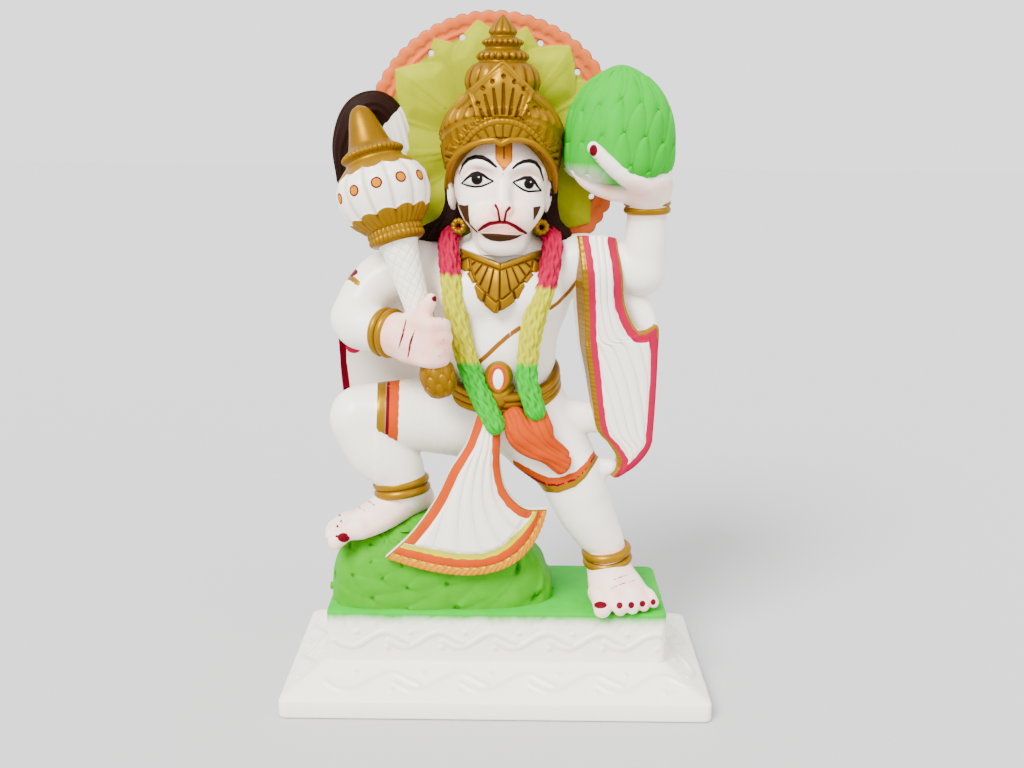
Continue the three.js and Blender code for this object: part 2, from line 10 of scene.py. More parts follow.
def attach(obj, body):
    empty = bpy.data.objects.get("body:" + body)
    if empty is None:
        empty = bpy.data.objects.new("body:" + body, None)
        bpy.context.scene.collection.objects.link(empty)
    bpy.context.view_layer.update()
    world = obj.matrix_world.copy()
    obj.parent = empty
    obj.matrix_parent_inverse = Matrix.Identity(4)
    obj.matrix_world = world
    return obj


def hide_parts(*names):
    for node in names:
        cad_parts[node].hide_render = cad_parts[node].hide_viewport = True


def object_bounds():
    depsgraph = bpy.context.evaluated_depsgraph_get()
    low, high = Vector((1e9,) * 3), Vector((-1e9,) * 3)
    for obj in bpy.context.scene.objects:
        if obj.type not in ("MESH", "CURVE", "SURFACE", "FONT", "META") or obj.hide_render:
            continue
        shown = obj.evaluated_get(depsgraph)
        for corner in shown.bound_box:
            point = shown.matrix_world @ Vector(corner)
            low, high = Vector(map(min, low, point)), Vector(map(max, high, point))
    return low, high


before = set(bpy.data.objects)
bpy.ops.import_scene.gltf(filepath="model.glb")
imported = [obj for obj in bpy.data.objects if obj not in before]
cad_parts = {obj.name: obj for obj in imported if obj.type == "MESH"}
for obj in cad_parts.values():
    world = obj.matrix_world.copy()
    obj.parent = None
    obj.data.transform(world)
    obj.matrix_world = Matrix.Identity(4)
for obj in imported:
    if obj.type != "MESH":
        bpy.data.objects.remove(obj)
box_low, box_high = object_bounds()

# Lengths are millimetres of the carving. Heights of carved forms start at the top of its step.
CARVING_HEIGHT = 381.0
STEP_TOP = 54.0
MM = (box_high.z - box_low.z) / CARVING_HEIGHT
FAR = 60.0
COARSE = 1.0
GOLDEN_ANGLE = 2.399963

# The camera of the photograph, in the same millimetres and from the centre of the underside.
CAMERA_PLACE = np.array([7.4, -614.9, 329.0])
CAMERA_RIGHT = np.array([0.9999, 0.0028, 0.0108])
CAMERA_UP = np.array([-0.0112, 0.2388, 0.9710])
CAMERA_AHEAD = np.array([-0.0002, 0.9711, -0.2388])
CAMERA_LENS = 39.4
SENSOR_WIDTH = 36.0


# Numbers and curves
def smoothstep(low, high, value):
    share = np.clip((value - low) / (high - low), 0, 1)
    return share * share * (3 - 2 * share)


def soft_min(a, b, blend):
    if blend <= 0:
        return np.minimum(a, b)
    share = np.clip(0.5 + 0.5 * (b - a) / blend, 0, 1)
    return b + (a - b) * share - blend * share * (1 - share)


def soft_max(a, b, blend):
    return -soft_min(-a, -b, blend)


def unit(vectors):
    return vectors / np.maximum(np.linalg.norm(vectors, axis=-1, keepdims=True), 1e-9)


def spline(stations, spans=6):
    """A Catmull-Rom curve through the stations, whose columns are a place and any sizes."""
    knots = np.array(stations, float)
    padded = np.vstack([2 * knots[0] - knots[1], knots, 2 * knots[-1] - knots[-2]])
    t = np.linspace(0, 1, spans, endpoint=False)[:, None]
    pieces = []
    for a, b, c, d in zip(padded, padded[1:], padded[2:], padded[3:]):
        bend = (2 * a - 5 * b + 4 * c - d) * t**2 + (3 * b - a - 3 * c + d) * t**3
        pieces.append(0.5 * (2 * b + (c - a) * t + bend))
    return np.vstack([*pieces, knots[-1:]])


def along_and_away(x, z, line):
    """For each straight piece of a line: how far along it points are, as a share, and how far away."""
    for (ax, az), (bx, bz) in zip(line[:-1], line[1:]):
        dx, dz = bx - ax, bz - az
        along = np.clip(((x - ax) * dx + (z - az) * dz) / (dx * dx + dz * dz + 1e-9), 0, 1)
        yield along, np.hypot(x - ax - along * dx, z - az - along * dz)


def curve_distance(x, z, line):
    """Distance in a plane from points to a run of straight pieces."""
    nearest = np.full(np.broadcast(x, z).shape, FAR)
    for _, away in along_and_away(x, z, line):
        nearest = np.minimum(nearest, away)
    return nearest


def stroke(x, z, line, width):
    """Depth inside a brush stroke along a line. The width is one number, or one for each point."""
    widths = np.broadcast_to(width, len(line))
    deepest = np.full(np.broadcast(x, z).shape, -FAR)
    for (along, away), a, b in zip(along_and_away(x, z, line), widths[:-1], widths[1:]):
        deepest = np.maximum(deepest, (a + along * (b - a)) / 2 - away)
    return deepest


def limb_depth(points, stations):
    """Depth of points inside a limb of round stations."""
    path = spline([station[:4] for station in stations], 5)
    deepest = np.full(len(points), -FAR)
    for a, b in zip(path[:-1], path[1:]):
        way = b[:3] - a[:3]
        offset = points - a[:3]
        t = np.clip(offset @ way / (way @ way + 1e-9), 0, 1)
        away = np.linalg.norm(offset - t[:, None] * way, axis=1)
        deepest = np.maximum(deepest, a[3] + t * (b[3] - a[3]) - away)
    return deepest


def inside(x, z, outline):
    """Signed distance to a closed outline, positive inside it."""
    closed = [*outline, outline[0]]
    within = np.zeros(np.broadcast(x, z).shape, bool)
    for (ax, az), (bx, bz) in zip(closed[:-1], closed[1:]):
        if az == bz:
            continue
        crossing = (az > z) != (bz > z)
        within ^= crossing & (x < (bx - ax) * (z - az) / (bz - az) + ax)
    away = curve_distance(x, z, closed)
    return np.where(within, away, -away)


def ripples(points, length, seed):
    """Smooth unevenness between -1 and 1, with waves of about the given length."""
    random = np.random.default_rng(seed)
    total = np.zeros(len(points))
    for _ in range(7):
        way = unit(random.normal(size=3)) * 2 * np.pi / (length * random.uniform(0.7, 1.4))
        total += np.sin(points @ way + random.uniform(0, 2 * np.pi))
    return total / 4


def front_view(points, plane=-30.0):
    """Where points show on an upright plane, as seen from the camera: x and height."""
    seen_from = CAMERA_PLACE - [0, 0, STEP_TOP]
    share = (plane - seen_from[1]) / (points[:, 1] - seen_from[1])
    spot = seen_from + (points - seen_from) * share[:, None]
    return spot[:, 0], spot[:, 2]


def leaves(u, v, width, length):
    """Height from 0 to 1 of overlapping pointed leaves, in rows with every other row set off by half."""
    best = np.zeros(np.broadcast(u, v).shape)
    for row in (0, 1):
        a = (u / width + 0.5 * row) % 1 - 0.5
        b = (v / length + 0.5 * row) % 1
        half = 0.56 * np.sin(np.pi * np.clip(b, 0, 1) ** 0.75)
        crown = 1 - (a / np.maximum(half, 1e-3)) ** 2
        best = np.maximum(best, np.sqrt(np.clip(crown, 0, 1)) * (0.62 + 0.38 * (1 - b)))
    return best


def leaf_tips(u, v, width, length):
    """Distance to the nearest tip of the same leaves."""
    nearest = np.full(np.broadcast(u, v).shape, FAR)
    for row in (0, 1):
        a = (u / width + 0.5 * row) % 1 - 0.5
        b = (v / length + 0.5 * row + 0.5) % 1 - 0.5
        nearest = np.minimum(nearest, np.hypot(a * width, b * length))
    return nearest


# Surfaces as points and faces
class Skin:
    """Points in carving millimetres, rows of point numbers as faces, and fields of a value per point."""

    def __init__(self, points, faces, **fields):
        self.points = points
        self.faces = faces
        self.fields = fields


def grid_faces(rows, columns, wrap):
    last = columns if wrap else columns - 1
    r, c = np.meshgrid(np.arange(rows - 1), np.arange(last), indexing="ij")
    after = (c + 1) % columns
    return np.stack(
        [r * columns + c, r * columns + after, (r + 1) * columns + after, (r + 1) * columns + c], -1
    ).reshape(-1, 4)


def capped(points, rows, columns):
    """Closes a wrapped grid with a fan at each end."""
    middles = [points[:columns].mean(0), points[-columns:].mean(0)]
    turn = np.arange(columns)
    after = (turn + 1) % columns
    first, last = rows * columns, rows * columns + 1
    start = np.stack([after, turn, np.full(columns, first)], -1)
    base = (rows - 1) * columns
    end = np.stack([base + turn, base + after, np.full(columns, last)], -1)
    return np.vstack([points, middles]), np.vstack([start, end])


def loft(rings, fields=None):
    """A closed skin over rings of equally many points, in order from one end to the other."""
    rows, columns = rings.shape[:2]
    points, fans = capped(rings.reshape(-1, 3), rows, columns)
    quads = grid_faces(rows, columns, True)
    padded = {}
    for name, values in (fields or {}).items():
        flat = np.broadcast_to(values, (rows, columns)).reshape(-1)
        padded[name] = np.concatenate([flat, [flat[0], flat[-1]]])
    return Skin(points, [quads, fans], **padded)


def frames(centre, across):
    """Directions along a path and square to it, one of them square to the given direction too."""
    along = unit(np.gradient(centre, axis=0))
    side = unit(np.cross(np.asarray(across, float), along))
    return along, side, np.cross(along, side)


def sweep(stations, sides, spans=6, across=(0, 1, 0), carve=None):
    """A tube with round ends through stations (x, y, z, half width, half depth).

    carve(distance along, angle) gives how far the surface stands out; 0 is the plain tube."""
    wide = [s if len(s) == 5 else [*s, s[3]] for s in stations]
    rows = spline(wide, spans)
    rows[:, 3:] = np.maximum(rows[:, 3:], 0.2)
    along, side, front = frames(rows[:, :3], across)
    bend = np.linspace(0, np.pi / 2, 6)[1:]
    first = [(0, -np.sin(a), np.cos(a)) for a in bend[::-1]]
    last = [(len(rows) - 1, np.sin(a), np.cos(a)) for a in bend]
    steps = [*first, *[(i, 0, 1) for i in range(len(rows))], *last]
    number = np.array([s[0] for s in steps])
    push = np.array([s[1] for s in steps]) * rows[number, 3:].min(1)
    scale = np.maximum(np.array([s[2] for s in steps]), 0.03)[:, None]
    centre = rows[number, :3] + along[number] * push[:, None]
    gone = np.concatenate([[0], np.cumsum(np.linalg.norm(np.diff(centre, axis=0), axis=1))])
    angle = np.linspace(0, 2 * np.pi, sides, endpoint=False)[None, :]
    grow = np.zeros((len(steps), sides)) if carve is None else carve(gone[:, None], angle) * scale
    wide_at = rows[number, 3][:, None] * scale + grow
    deep_at = rows[number, 4][:, None] * scale + grow
    rings = (
        centre[:, None]
        + side[number][:, None] * (wide_at * np.cos(angle))[..., None]
        + front[number][:, None] * (deep_at * np.sin(angle))[..., None]
    )
    return loft(rings, {"along": gone[:, None], "turn": angle, "relief": grow})


def hoop(centre, axis, radius, thickness, sides=72, around=14, depth=None, carve=None):
    """A closed ring about an axis. With depth it is oval. carve(turn, around) swells the cord."""
    axis = unit(np.asarray(axis, float))
    side = unit(np.cross((0, 1, 0), axis))
    front = np.cross(axis, side)
    turn = np.linspace(0, 2 * np.pi, sides, endpoint=False)
    spot = np.linspace(0, 2 * np.pi, around, endpoint=False)[None, :]
    reach = radius if depth is None else depth
    cord = thickness if carve is None else thickness + carve(turn[:, None], spot)
    out = np.cos(spot) * cord
    lift = -np.sin(spot) * cord
    rings = (
        np.asarray(centre, float)
        + side * (np.cos(turn)[:, None] * (radius + out))[..., None]
        + front * (np.sin(turn)[:, None] * (reach + out))[..., None]
        + axis * (lift + 0 * out)[..., None]
    )
    faces = grid_faces(sides + 1, around, True) % (sides * around)
    flat = [np.broadcast_to(values, (sides, around)).reshape(-1) for values in (turn[:, None], spot)]
    return Skin(rings.reshape(-1, 3), [faces], turn=flat[0], around=flat[1])


def turned(foot, tip, profile, sides, rows, carve=None):
    """A turned form from foot to tip. The profile is [share of the way, radius]."""
    foot, tip = np.array(foot, float), np.array(tip, float)
    axis = tip - foot
    side = unit(np.cross((0, 1, 0), axis))
    front = np.cross(unit(axis), side)
    stations = np.array(profile, float)
    fine = spline(stations, 8)
    share = np.linspace(0, 1, rows)
    order = np.maximum.accumulate(fine[:, 0])
    radius = np.interp(share, order, np.maximum(fine[:, 1], 0.1))[:, None]
    angle = np.linspace(0, 2 * np.pi, sides, endpoint=False)[None, :]
    share = share[:, None]
    grow = np.zeros((rows, sides)) if carve is None else carve(share, angle)
    reach = np.maximum(radius + grow, 0.05)
    rings = (
        foot
        + axis * share[..., None]
        + side * (reach * np.cos(angle))[..., None]
        + front * (reach * np.sin(angle))[..., None]
    )
    return loft(rings, {"share": share, "turn": angle, "relief": grow})


def sheet(rows, thickness, inward, across=140, spans=24, carve=None, rounding=1.3, leans=()):
    """A slab over rows of three points: an edge, a control point and the other edge of an arc.

    carve(places, measures) raises the front; the measures are shares across and down, and
    millimetres from the first, last and lower edge. A row may lean: its back then lies to one
    side of its front, by a share of the thickness."""
    leaning = [*leans, *[0] * (len(rows) - len(leans))]
    knots = spline([[*sum(row, []), lean] for row, lean in zip(rows, leaning)], spans)
    t = np.linspace(0, 1, across)[None, :, None]
    first, control, last = (knots[:, None, k : k + 3] for k in (0, 3, 6))
    front = (1 - t) ** 2 * first + 2 * t * (1 - t) * control + t**2 * last
    step_across = np.linalg.norm(np.diff(front, axis=1), axis=2)
    from_first = np.pad(np.cumsum(step_across, 1), ((0, 0), (1, 0)))
    from_last = from_first[:, -1:] - from_first
    step_down = np.linalg.norm(np.diff(front, axis=0), axis=2)
    from_top = np.pad(np.cumsum(step_down, 0), ((1, 0), (0, 0)))
    from_end = from_top[-1:] - from_top
    down = np.linspace(0, 1, len(knots))[:, None]
    normal = unit(np.cross(np.gradient(front, axis=0), np.gradient(front, axis=1)))
    into = np.asarray(inward, float)
    normal *= -np.sign((normal @ into).mean())
    grow = np.zeros(front.shape[:2])
    if carve is not None:
        plain = {"across": t[..., 0], "down": down, "first": from_first, "last": from_last,
                 "end": from_end}
        grow = carve(front, {name: values + grow for name, values in plain.items()})
    edge = np.minimum(np.minimum(from_first, from_last), from_end)
    short = np.clip((rounding - edge) / rounding, 0, 1)
    face = front + normal * (grow - rounding * (1 - np.sqrt(1 - short**2)))[..., None]
    behind = front + (into + knots[:, None, 9:] * [1, 0, 0]) * thickness
    rings = np.concatenate([face, behind[:, ::-1]], 1)

    def whole(values, added=0.0):
        flat = np.broadcast_to(values, front.shape[:2])
        return np.concatenate([flat, flat[:, ::-1] + added], 1)

    fields = {
        "across": whole(t[..., 0]),
        "down": whole(down),
        "first": whole(from_first, FAR),
        "last": whole(from_last, FAR),
        "end": whole(from_end, FAR),
        "relief": whole(grow),
    }
    made = strip_capped(rings, fields)
    facing = np.cross(np.gradient(front, axis=1), np.gradient(front, axis=0))
    if (facing * normal).sum() < 0:
        made.faces = [f[:, ::-1] for f in made.faces]
    return made


def strip_capped(rings, fields):
    """A wrapped grid whose ends are closed by strips between the front and the back."""
    rows, columns = rings.shape[:2]
    half = columns // 2
    quads = [grid_faces(rows, columns, True)]
    c = np.arange(half - 1)
    for base, flip in ((0, True), ((rows - 1) * columns, False)):
        strip = np.stack([base + c, base + c + 1, base + columns - 2 - c, base + columns - 1 - c], -1)
        quads.append(strip[:, ::-1] if flip else strip)
    flat = {name: values.reshape(-1) for name, values in fields.items()}
    return Skin(rings.reshape(-1, 3), quads, **flat)


# Distance fields for forms that flow together
class Block:
    """A box of distances to the carved surface, negative in the stone."""

    def __init__(self, low, high, step):
        self.step = step * COARSE
        self.low = np.array(low, float)
        counts = np.ceil((np.array(high) - self.low) / self.step).astype(int) + 1
        self.axes = [self.low[i] + self.step * np.arange(counts[i]) for i in range(3)]
        self.values = np.full(counts, FAR, np.float32)

    def window(self, low, high):
        start = np.floor((np.asarray(low) - self.low) / self.step).astype(int)
        stop = np.ceil((np.asarray(high) - self.low) / self.step).astype(int) + 1
        start = np.clip(start, 0, self.values.shape)
        stop = np.clip(stop, start, self.values.shape)
        return tuple(slice(a, b) for a, b in zip(start, stop))

    def places(self, window=None):
        cuts = window or (slice(None),) * 3
        x, y, z = (axis[cut].astype(np.float32) for axis, cut in zip(self.axes, cuts))
        return x[:, None, None], y[None, :, None], z[None, None, :]

    def join(self, low, high, distance, blend=0.0):
        """Adds a form that lies in the given box. distance(x, y, z) is negative inside it."""
        pad = blend + 2 * self.step
        window = self.window(np.asarray(low) - pad, np.asarray(high) + pad)
        form = distance(*self.places(window)).astype(np.float32)
        self.values[window] = soft_min(self.values[window], form, blend)

    def cut(self, low, high, distance, blend=0.0):
        pad = blend + 2 * self.step
        window = self.window(np.asarray(low) - pad, np.asarray(high) + pad)
        form = distance(*self.places(window)).astype(np.float32)
        self.values[window] = soft_max(self.values[window], -form, blend)

    def egg(self, centre, halves, blend=0.0, remove=False, tilt=0.0):
        """An egg with three half sizes. tilt turns it about the depth axis, in degrees."""
        centre, halves = np.array(centre, float), np.array(halves, float)
        c, s = math.cos(math.radians(tilt)), math.sin(math.radians(tilt))

        def distance(x, y, z):
            dx, dy, dz = x - centre[0], y - centre[1], z - centre[2]
            u = (dx * c + dz * s) / halves[0]
            w = (dz * c - dx * s) / halves[2]
            v = dy / halves[1]
            shell = np.sqrt(u * u + v * v + w * w)
            slope = np.sqrt((u / halves[0]) ** 2 + (v / halves[1]) ** 2 + (w / halves[2]) ** 2)
            return shell * (shell - 1) / np.maximum(slope, 1e-6)

        reach = np.array([max(halves[0], halves[2]), halves[1], max(halves[0], halves[2])])
        act = self.cut if remove else self.join
        act(centre - reach, centre + reach, distance, blend)

    def limb(self, stations, blend=0.0, spans=5, squash=(0, 1, 0)):
        """A limb through stations (x, y, z, half width, half size along the squash axis)."""
        wide = [s if len(s) == 5 else [*s, s[3]] for s in stations]
        path = spline(wide, spans)
        path[:, 3:] = np.maximum(path[:, 3:], 0.3)
        pad = blend + 2 * self.step
        reach = path[:, 3:].max() + pad
        window = self.window(path[:, :3].min(0) - reach, path[:, :3].max(0) + reach)
        near = np.full(self.values[window].shape, FAR, np.float32)
        axis = np.array(squash, float)
        for a, b in zip(path[:-1], path[1:]):
            low = np.minimum(a[:3], b[:3]) - max(*a[3:], *b[3:]) - pad
            high = np.maximum(a[:3], b[:3]) + max(*a[3:], *b[3:]) + pad
            near_part = zip(self.window(low, high), window)
            part = tuple(slice(max(p.start, w.start), min(p.stop, w.stop)) for p, w in near_part)
            local = tuple(slice(p.start - w.start, p.stop - w.start) for p, w in zip(part, window))
            x, y, z = self.places(part)
            way = b[:3] - a[:3]
            px, py, pz = x - a[0], y - a[1], z - a[2]
            t = np.clip((px * way[0] + py * way[1] + pz * way[2]) / (way @ way + 1e-9), 0, 1)
            dx, dy, dz = px - t * way[0], py - t * way[1], pz - t * way[2]
            width = a[3] + t * (b[3] - a[3])
            depth = a[4] + t * (b[4] - a[4])
            flat = dx * axis[0] + dy * axis[1] + dz * axis[2]
            square = dx * dx + dy * dy + dz * dz - flat * flat + (flat * width / depth) ** 2
            form = np.sqrt(np.maximum(square, 0)) - width
            near[local] = np.minimum(near[local], form.astype(np.float32))
        self.values[window] = soft_min(self.values[window], near, blend)

    def swell(self, relief):
        """Moves the surface out by relief(points), which is only worked out near the surface."""
        band = np.nonzero(np.abs(self.values) < 2.5 + self.step)
        spots = np.stack([axis[i] for axis, i in zip(self.axes, band)], -1)
        self.values[band] -= relief(spots).astype(np.float32)

    def crease(self, points, reach):
        """How deep in a crease surface points lie: the share of their surroundings that is stone."""
        turns = GOLDEN_ANGLE * np.arange(34)
        lift = np.linspace(-0.95, 0.95, len(turns))
        flat = np.sqrt(1 - lift**2)
        share = np.zeros(len(points))
        for way in np.stack([flat * np.cos(turns), flat * np.sin(turns), lift], -1):
            cell = np.rint((points + reach * way - self.low) / self.step).astype(int)
            cell = np.clip(cell, 0, np.array(self.values.shape) - 1)
            share += np.clip(0.5 - self.values[tuple(cell.T)] / 2, 0, 1)
        return smoothstep(0.54, 0.86, share / len(turns))

    def skin(self):
        """The surface as points and quads, by surface nets."""
        v = self.values
        solid = v < 0
        corners = [(i, j, k) for i in (0, 1) for j in (0, 1) for k in (0, 1)]
        shape = np.array(v.shape) - 1
        count = np.zeros(shape, np.int8)
        for i, j, k in corners:
            count += solid[i : i + shape[0], j : j + shape[1], k : k + shape[2]]
        active = (count > 0) & (count < 8)
        cell = np.argwhere(active)
        number = np.full(shape, -1, np.int32)
        number[active] = np.arange(len(cell))
        total = np.zeros((len(cell), 3))
        hits = np.zeros((len(cell), 1))
        for a in corners:
            for axis in range(3):
                if a[axis]:
                    continue
                b = tuple(1 if n == axis else a[n] for n in range(3))
                at_a = v[tuple((cell + a).T)]
                at_b = v[tuple((cell + b).T)]
                crossed = (at_a < 0) != (at_b < 0)
                share = at_a / np.where(crossed, at_a - at_b, 1)
                spot = np.array(a, float) + share[:, None] * (np.array(b) - np.array(a))
                total += np.where(crossed[:, None], spot, 0)
                hits += crossed[:, None]
        points = self.low + self.step * (cell + total / hits)
        quads = []
        for axis in range(3):
            one, two = [n for n in range(3) if n != axis]
            ahead = [slice(None)] * 3
            here = [slice(None)] * 3
            ahead[axis], here[axis] = slice(1, None), slice(0, -1)
            for n in (one, two):
                ahead[n] = here[n] = slice(1, -1)
            before, after = solid[tuple(here)], solid[tuple(ahead)]
            for into in (True, False):
                edge = np.argwhere((before == into) & (after == (not into)))
                edge[:, one] += 1
                edge[:, two] += 1
                ring = []
                for back_one, back_two in ((0, 0), (1, 0), (1, 1), (0, 1)):
                    spot = edge.copy()
                    spot[:, one] -= back_one
                    spot[:, two] -= back_two
                    ring.append(number[tuple(spot.T)])
                face = np.stack(ring, -1)
                turned_out = into == (axis != 1)
                quads.append(face if turned_out else face[:, ::-1])
        return Skin(points, [np.vstack(quads)])


# Meshes and pieces
def mesh_of(name, skins):
    """One mesh over several skins, with every field as a value on its points."""
    points = np.vstack([s.points for s in skins])
    loops, sizes = [], []
    base = 0
    for s in skins:
        for faces in s.faces:
            loops.append((faces + base).reshape(-1))
            sizes.append(np.full(len(faces), faces.shape[1]))
        base += len(s.points)
    loops, sizes = np.concatenate(loops), np.concatenate(sizes)
    mesh = bpy.data.meshes.new(name)
    mesh.vertices.add(len(points))
    raised = points + [0, 0, STEP_TOP]
    mesh.vertices.foreach_set("co", (raised * MM).astype(np.float32).ravel())
    mesh.loops.add(len(loops))
    mesh.loops.foreach_set("vertex_index", loops.astype(np.int32))
    mesh.polygons.add(len(sizes))
    starts = np.concatenate([[0], np.cumsum(sizes)[:-1]])
    mesh.polygons.foreach_set("loop_start", starts.astype(np.int32))
    for field in sorted({n for s in skins for n in s.fields}):
        blank = [s.fields.get(field, np.zeros(len(s.points))) for s in skins]
        layer = mesh.attributes.new(field, "FLOAT", "POINT")
        layer.data.foreach_set("value", np.concatenate(blank).astype(np.float32))
    mesh.update(calc_edges=True)
    return mesh


def thinned(skin, triangles):
    """The same surface with about so many triangles."""
    flat = bpy.data.objects.new("thinned", mesh_of("thinned", [skin]))
    bpy.context.scene.collection.objects.link(flat)
    now = sum(len(f) * (f.shape[1] - 2) for f in skin.faces)
    wanted = triangles / COARSE**2
    if now > wanted:
        reduce = flat.modifiers.new("thin", "DECIMATE")
        reduce.ratio = wanted / now
    made = flat.evaluated_get(bpy.context.evaluated_depsgraph_get()).to_mesh()
    made.calc_loop_triangles()
    points = np.empty(len(made.vertices) * 3, np.float32)
    made.vertices.foreach_get("co", points)
    corners = np.empty(len(made.loop_triangles) * 3, np.int32)
    made.loop_triangles.foreach_get("vertices", corners)
    fields = {}
    for name in skin.fields:
        values = np.empty(len(made.vertices), np.float32)
        made.attributes[name].data.foreach_get("value", values)
        fields[name] = values
    bpy.data.objects.remove(flat)
    places = points.reshape(-1, 3).astype(float) / MM - [0, 0, STEP_TOP]
    return Skin(places, [corners.reshape(-1, 3)], **fields)


def piece(name, skins, material):
    mesh = mesh_of(name, skins)
    mesh.materials.append(material)
    mesh.shade_smooth()
    mesh.set_sharp_from_angle(angle=math.radians(60))
    made = bpy.data.objects.new(name, mesh)
    bpy.context.scene.collection.objects.link(made)
    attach(made, "root")
    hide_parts("hanuman_statue")
    return made


# Paint
class Nodes:
    """Short calls for the nodes of one material."""

    def __init__(self, name):
        self.material = bpy.data.materials.new(name)
        self.material.use_nodes = True
        self.tree = self.material.node_tree
        self.shader = self.tree.nodes["Principled BSDF"]

    def feed(self, socket, value):
        if isinstance(value, bpy.types.NodeSocket):
            self.tree.links.new(value, socket)
        elif hasattr(socket.default_value, "__len__") and len(socket.default_value) == 4:
            socket.default_value = (*value[:3], 1)
        else:
            socket.default_value = value

    def make(self, kind, output=0, inputs=(), **settings):
        node = self.tree.nodes.new("ShaderNode" + kind)
        for key, value in settings.items():
            setattr(node, key, value)
        for key, value in dict(inputs).items():
            self.feed(node.inputs[key], value)
        return node.outputs[output]

    def math(self, operation, a, b=0.0, c=0.0, clamp=False):
        return self.make("Math", inputs={0: a, 1: b, 2: c}, operation=operation, use_clamp=clamp)

    def field(self, name):
        return self.make("Attribute", "Fac", attribute_name=name)

    def blend(self, share, a, b):
        return self.make("Mix", 2, {0: share, 6: a, 7: b}, data_type="RGBA")

    def blend_values(self, share, a, b):
        return self.make("Mix", 0, {0: share, 2: a, 3: b}, data_type="FLOAT")

    def noise(self, scale, detail=3.0, stretch=(1, 1, 1)):
        place = self.make("TexCoord", "Object")
        sized = self.make("VectorMath", 0, {0: place, 1: tuple(s * scale for s in stretch)},
                          operation="MULTIPLY")
        return self.make("TexNoise", "Fac", {"Vector": sized, "Scale": 1.0, "Detail": detail})


MARBLE = (0.88, 0.81, 0.71)
PAINTS = {
    "gold": ((0.25, 0.125, 0.002), 0.36, 0.5),
    "pink": ((0.34, 0.001, 0.034), 0.5, 0.0),
    "crimson": ((0.10, 0.001, 0.006), 0.45, 0.0),
    "yellow": ((0.42, 0.42, 0.0008), 0.5, 0.0),
    "amber": ((0.46, 0.17, 0.0015), 0.5, 0.0),
    "orange": ((0.42, 0.048, 0.001), 0.5, 0.0),
    "peach": ((0.54, 0.11, 0.022), 0.5, 0.0),
    "green": ((0.014, 0.35, 0.010), 0.5, 0.0),
    "moss": ((0.045, 0.27, 0.004), 0.5, 0.0),
    "lime": ((0.30, 0.33, 0.001), 0.5, 0.0),
    "brown": ((0.012, 0.004, 0.002), 0.5, 0.0),
    "umber": ((0.040, 0.014, 0.005), 0.5, 0.0),
    "black": ((0.005, 0.004, 0.004), 0.35, 0.0),
    "white": ((0.90, 0.88, 0.84), 0.4, 0.0),
    # Painted highlight: the light dot in each eye.
    "cream": ((0.90, 0.86, 0.78), 0.3, 0.0),
    "blush": ((0.90, 0.42, 0.33), 0.45, 0.0),
    "rose": ((0.66, 0.20, 0.16), 0.45, 0.0),
    "ochre": ((0.22, 0.075, 0.006), 0.45, 0.1),
}
HATCH_PITCH = 0.0021
PAINT_GLOSS = 0.04


def painted(name, paints, recess_shade_colour=(0.55, 0.45, 0.36), hatched=False):
    """Polished marble under coats of paint. Each coat lies where its field is above zero. A further field
    darkens the colour towards the given shade colour: painted shade in the recesses and creases of the
    carving.

    Hatched marble has fine slanting lines cut in it where its field incised is one."""
    n = Nodes(name)
    cloud = n.noise(38, 4)
    grain = n.noise(420, 3)
    brush = n.noise(130, 2, (1, 1, 0.4))
    colour = n.blend(cloud, tuple(c * 0.955 for c in MARBLE), MARBLE)
    roughness = n.blend_values(grain, 0.24, 0.36)
    gloss = 0.4
    metal = 0.0
    for paint in paints:
        shade, rough, metallic = PAINTS[paint]
        coat = n.math("MULTIPLY", n.field(paint), 3.2, clamp=True)
        thin = tuple(c * 0.84 for c in shade)
        thick = tuple(min(1, c * 1.14) for c in shade)
        colour = n.blend(coat, colour, n.blend(brush, thin, thick))
        roughness = n.blend_values(coat, roughness, n.math("MULTIPLY_ADD", grain, 0.16, rough - 0.08))
        gloss = n.blend_values(coat, gloss, PAINT_GLOSS)
        if metallic or not isinstance(metal, float):
            metal = n.blend_values(coat, metal, metallic)
    # Painted shade: the colour is multiplied towards the shade colour in recesses and creases.
    hollow = n.field("hollow")
    shaded = n.make("Mix", 2, {0: hollow, 6: colour, 7: recess_shade_colour}, data_type="RGBA",
                     blend_type="MULTIPLY")
    n.feed(n.shader.inputs["Base Color"], shaded)
    n.feed(n.shader.inputs["Roughness"], roughness)
    n.feed(n.shader.inputs["Metallic"], metal)
    n.feed(n.shader.inputs["Specular IOR Level"], gloss)
    n.shader.inputs["Subsurface Weight"].default_value = 0.12
    n.shader.inputs["Subsurface Radius"].default_value = (1.0, 0.7, 0.55)
    n.shader.inputs["Subsurface Scale"].default_value = 0.0022
    height = n.math("ADD", n.math("MULTIPLY", grain, 0.5), cloud)
    if hatched:
        place = n.make("TexCoord", "Object")
        along = n.make("VectorMath", "Value", {0: place, 1: (0.32, 0.1, 0.94)}, operation="DOT_PRODUCT")
        swayed = n.math("MULTIPLY_ADD", cloud, 0.0016, along)
        cut = n.math("SINE", n.math("MULTIPLY", swayed, 2 * math.pi / HATCH_PITCH))
        groove = n.math("MULTIPLY", n.math("GREATER_THAN", cut, 0.8), n.field("incised"))
        height = n.math("MULTIPLY_ADD", groove, -0.7, height)
    bump = n.make("Bump", 0, {"Height": height, "Strength": 0.16, "Distance": 0.0006})
    n.feed(n.shader.inputs["Normal"], bump)
    return n.material


def coats(skin, **fields):
    """Gives a skin its paint: the depth inside each painted area, and the painted shade in the recesses
    of its carving.
    """
    skin.fields = {name: np.broadcast_to(value, len(skin.points)) for name, value in fields.items()}
    return skin


def thinned_fields(skin, triangles, **fields):
    return thinned(coats(skin, **fields), triangles)


def ridge(distance, width):
    """A rounded ridge from 0 to 1 over a line."""
    return np.sqrt(np.clip(1 - (distance / width) ** 2, 0, 1))


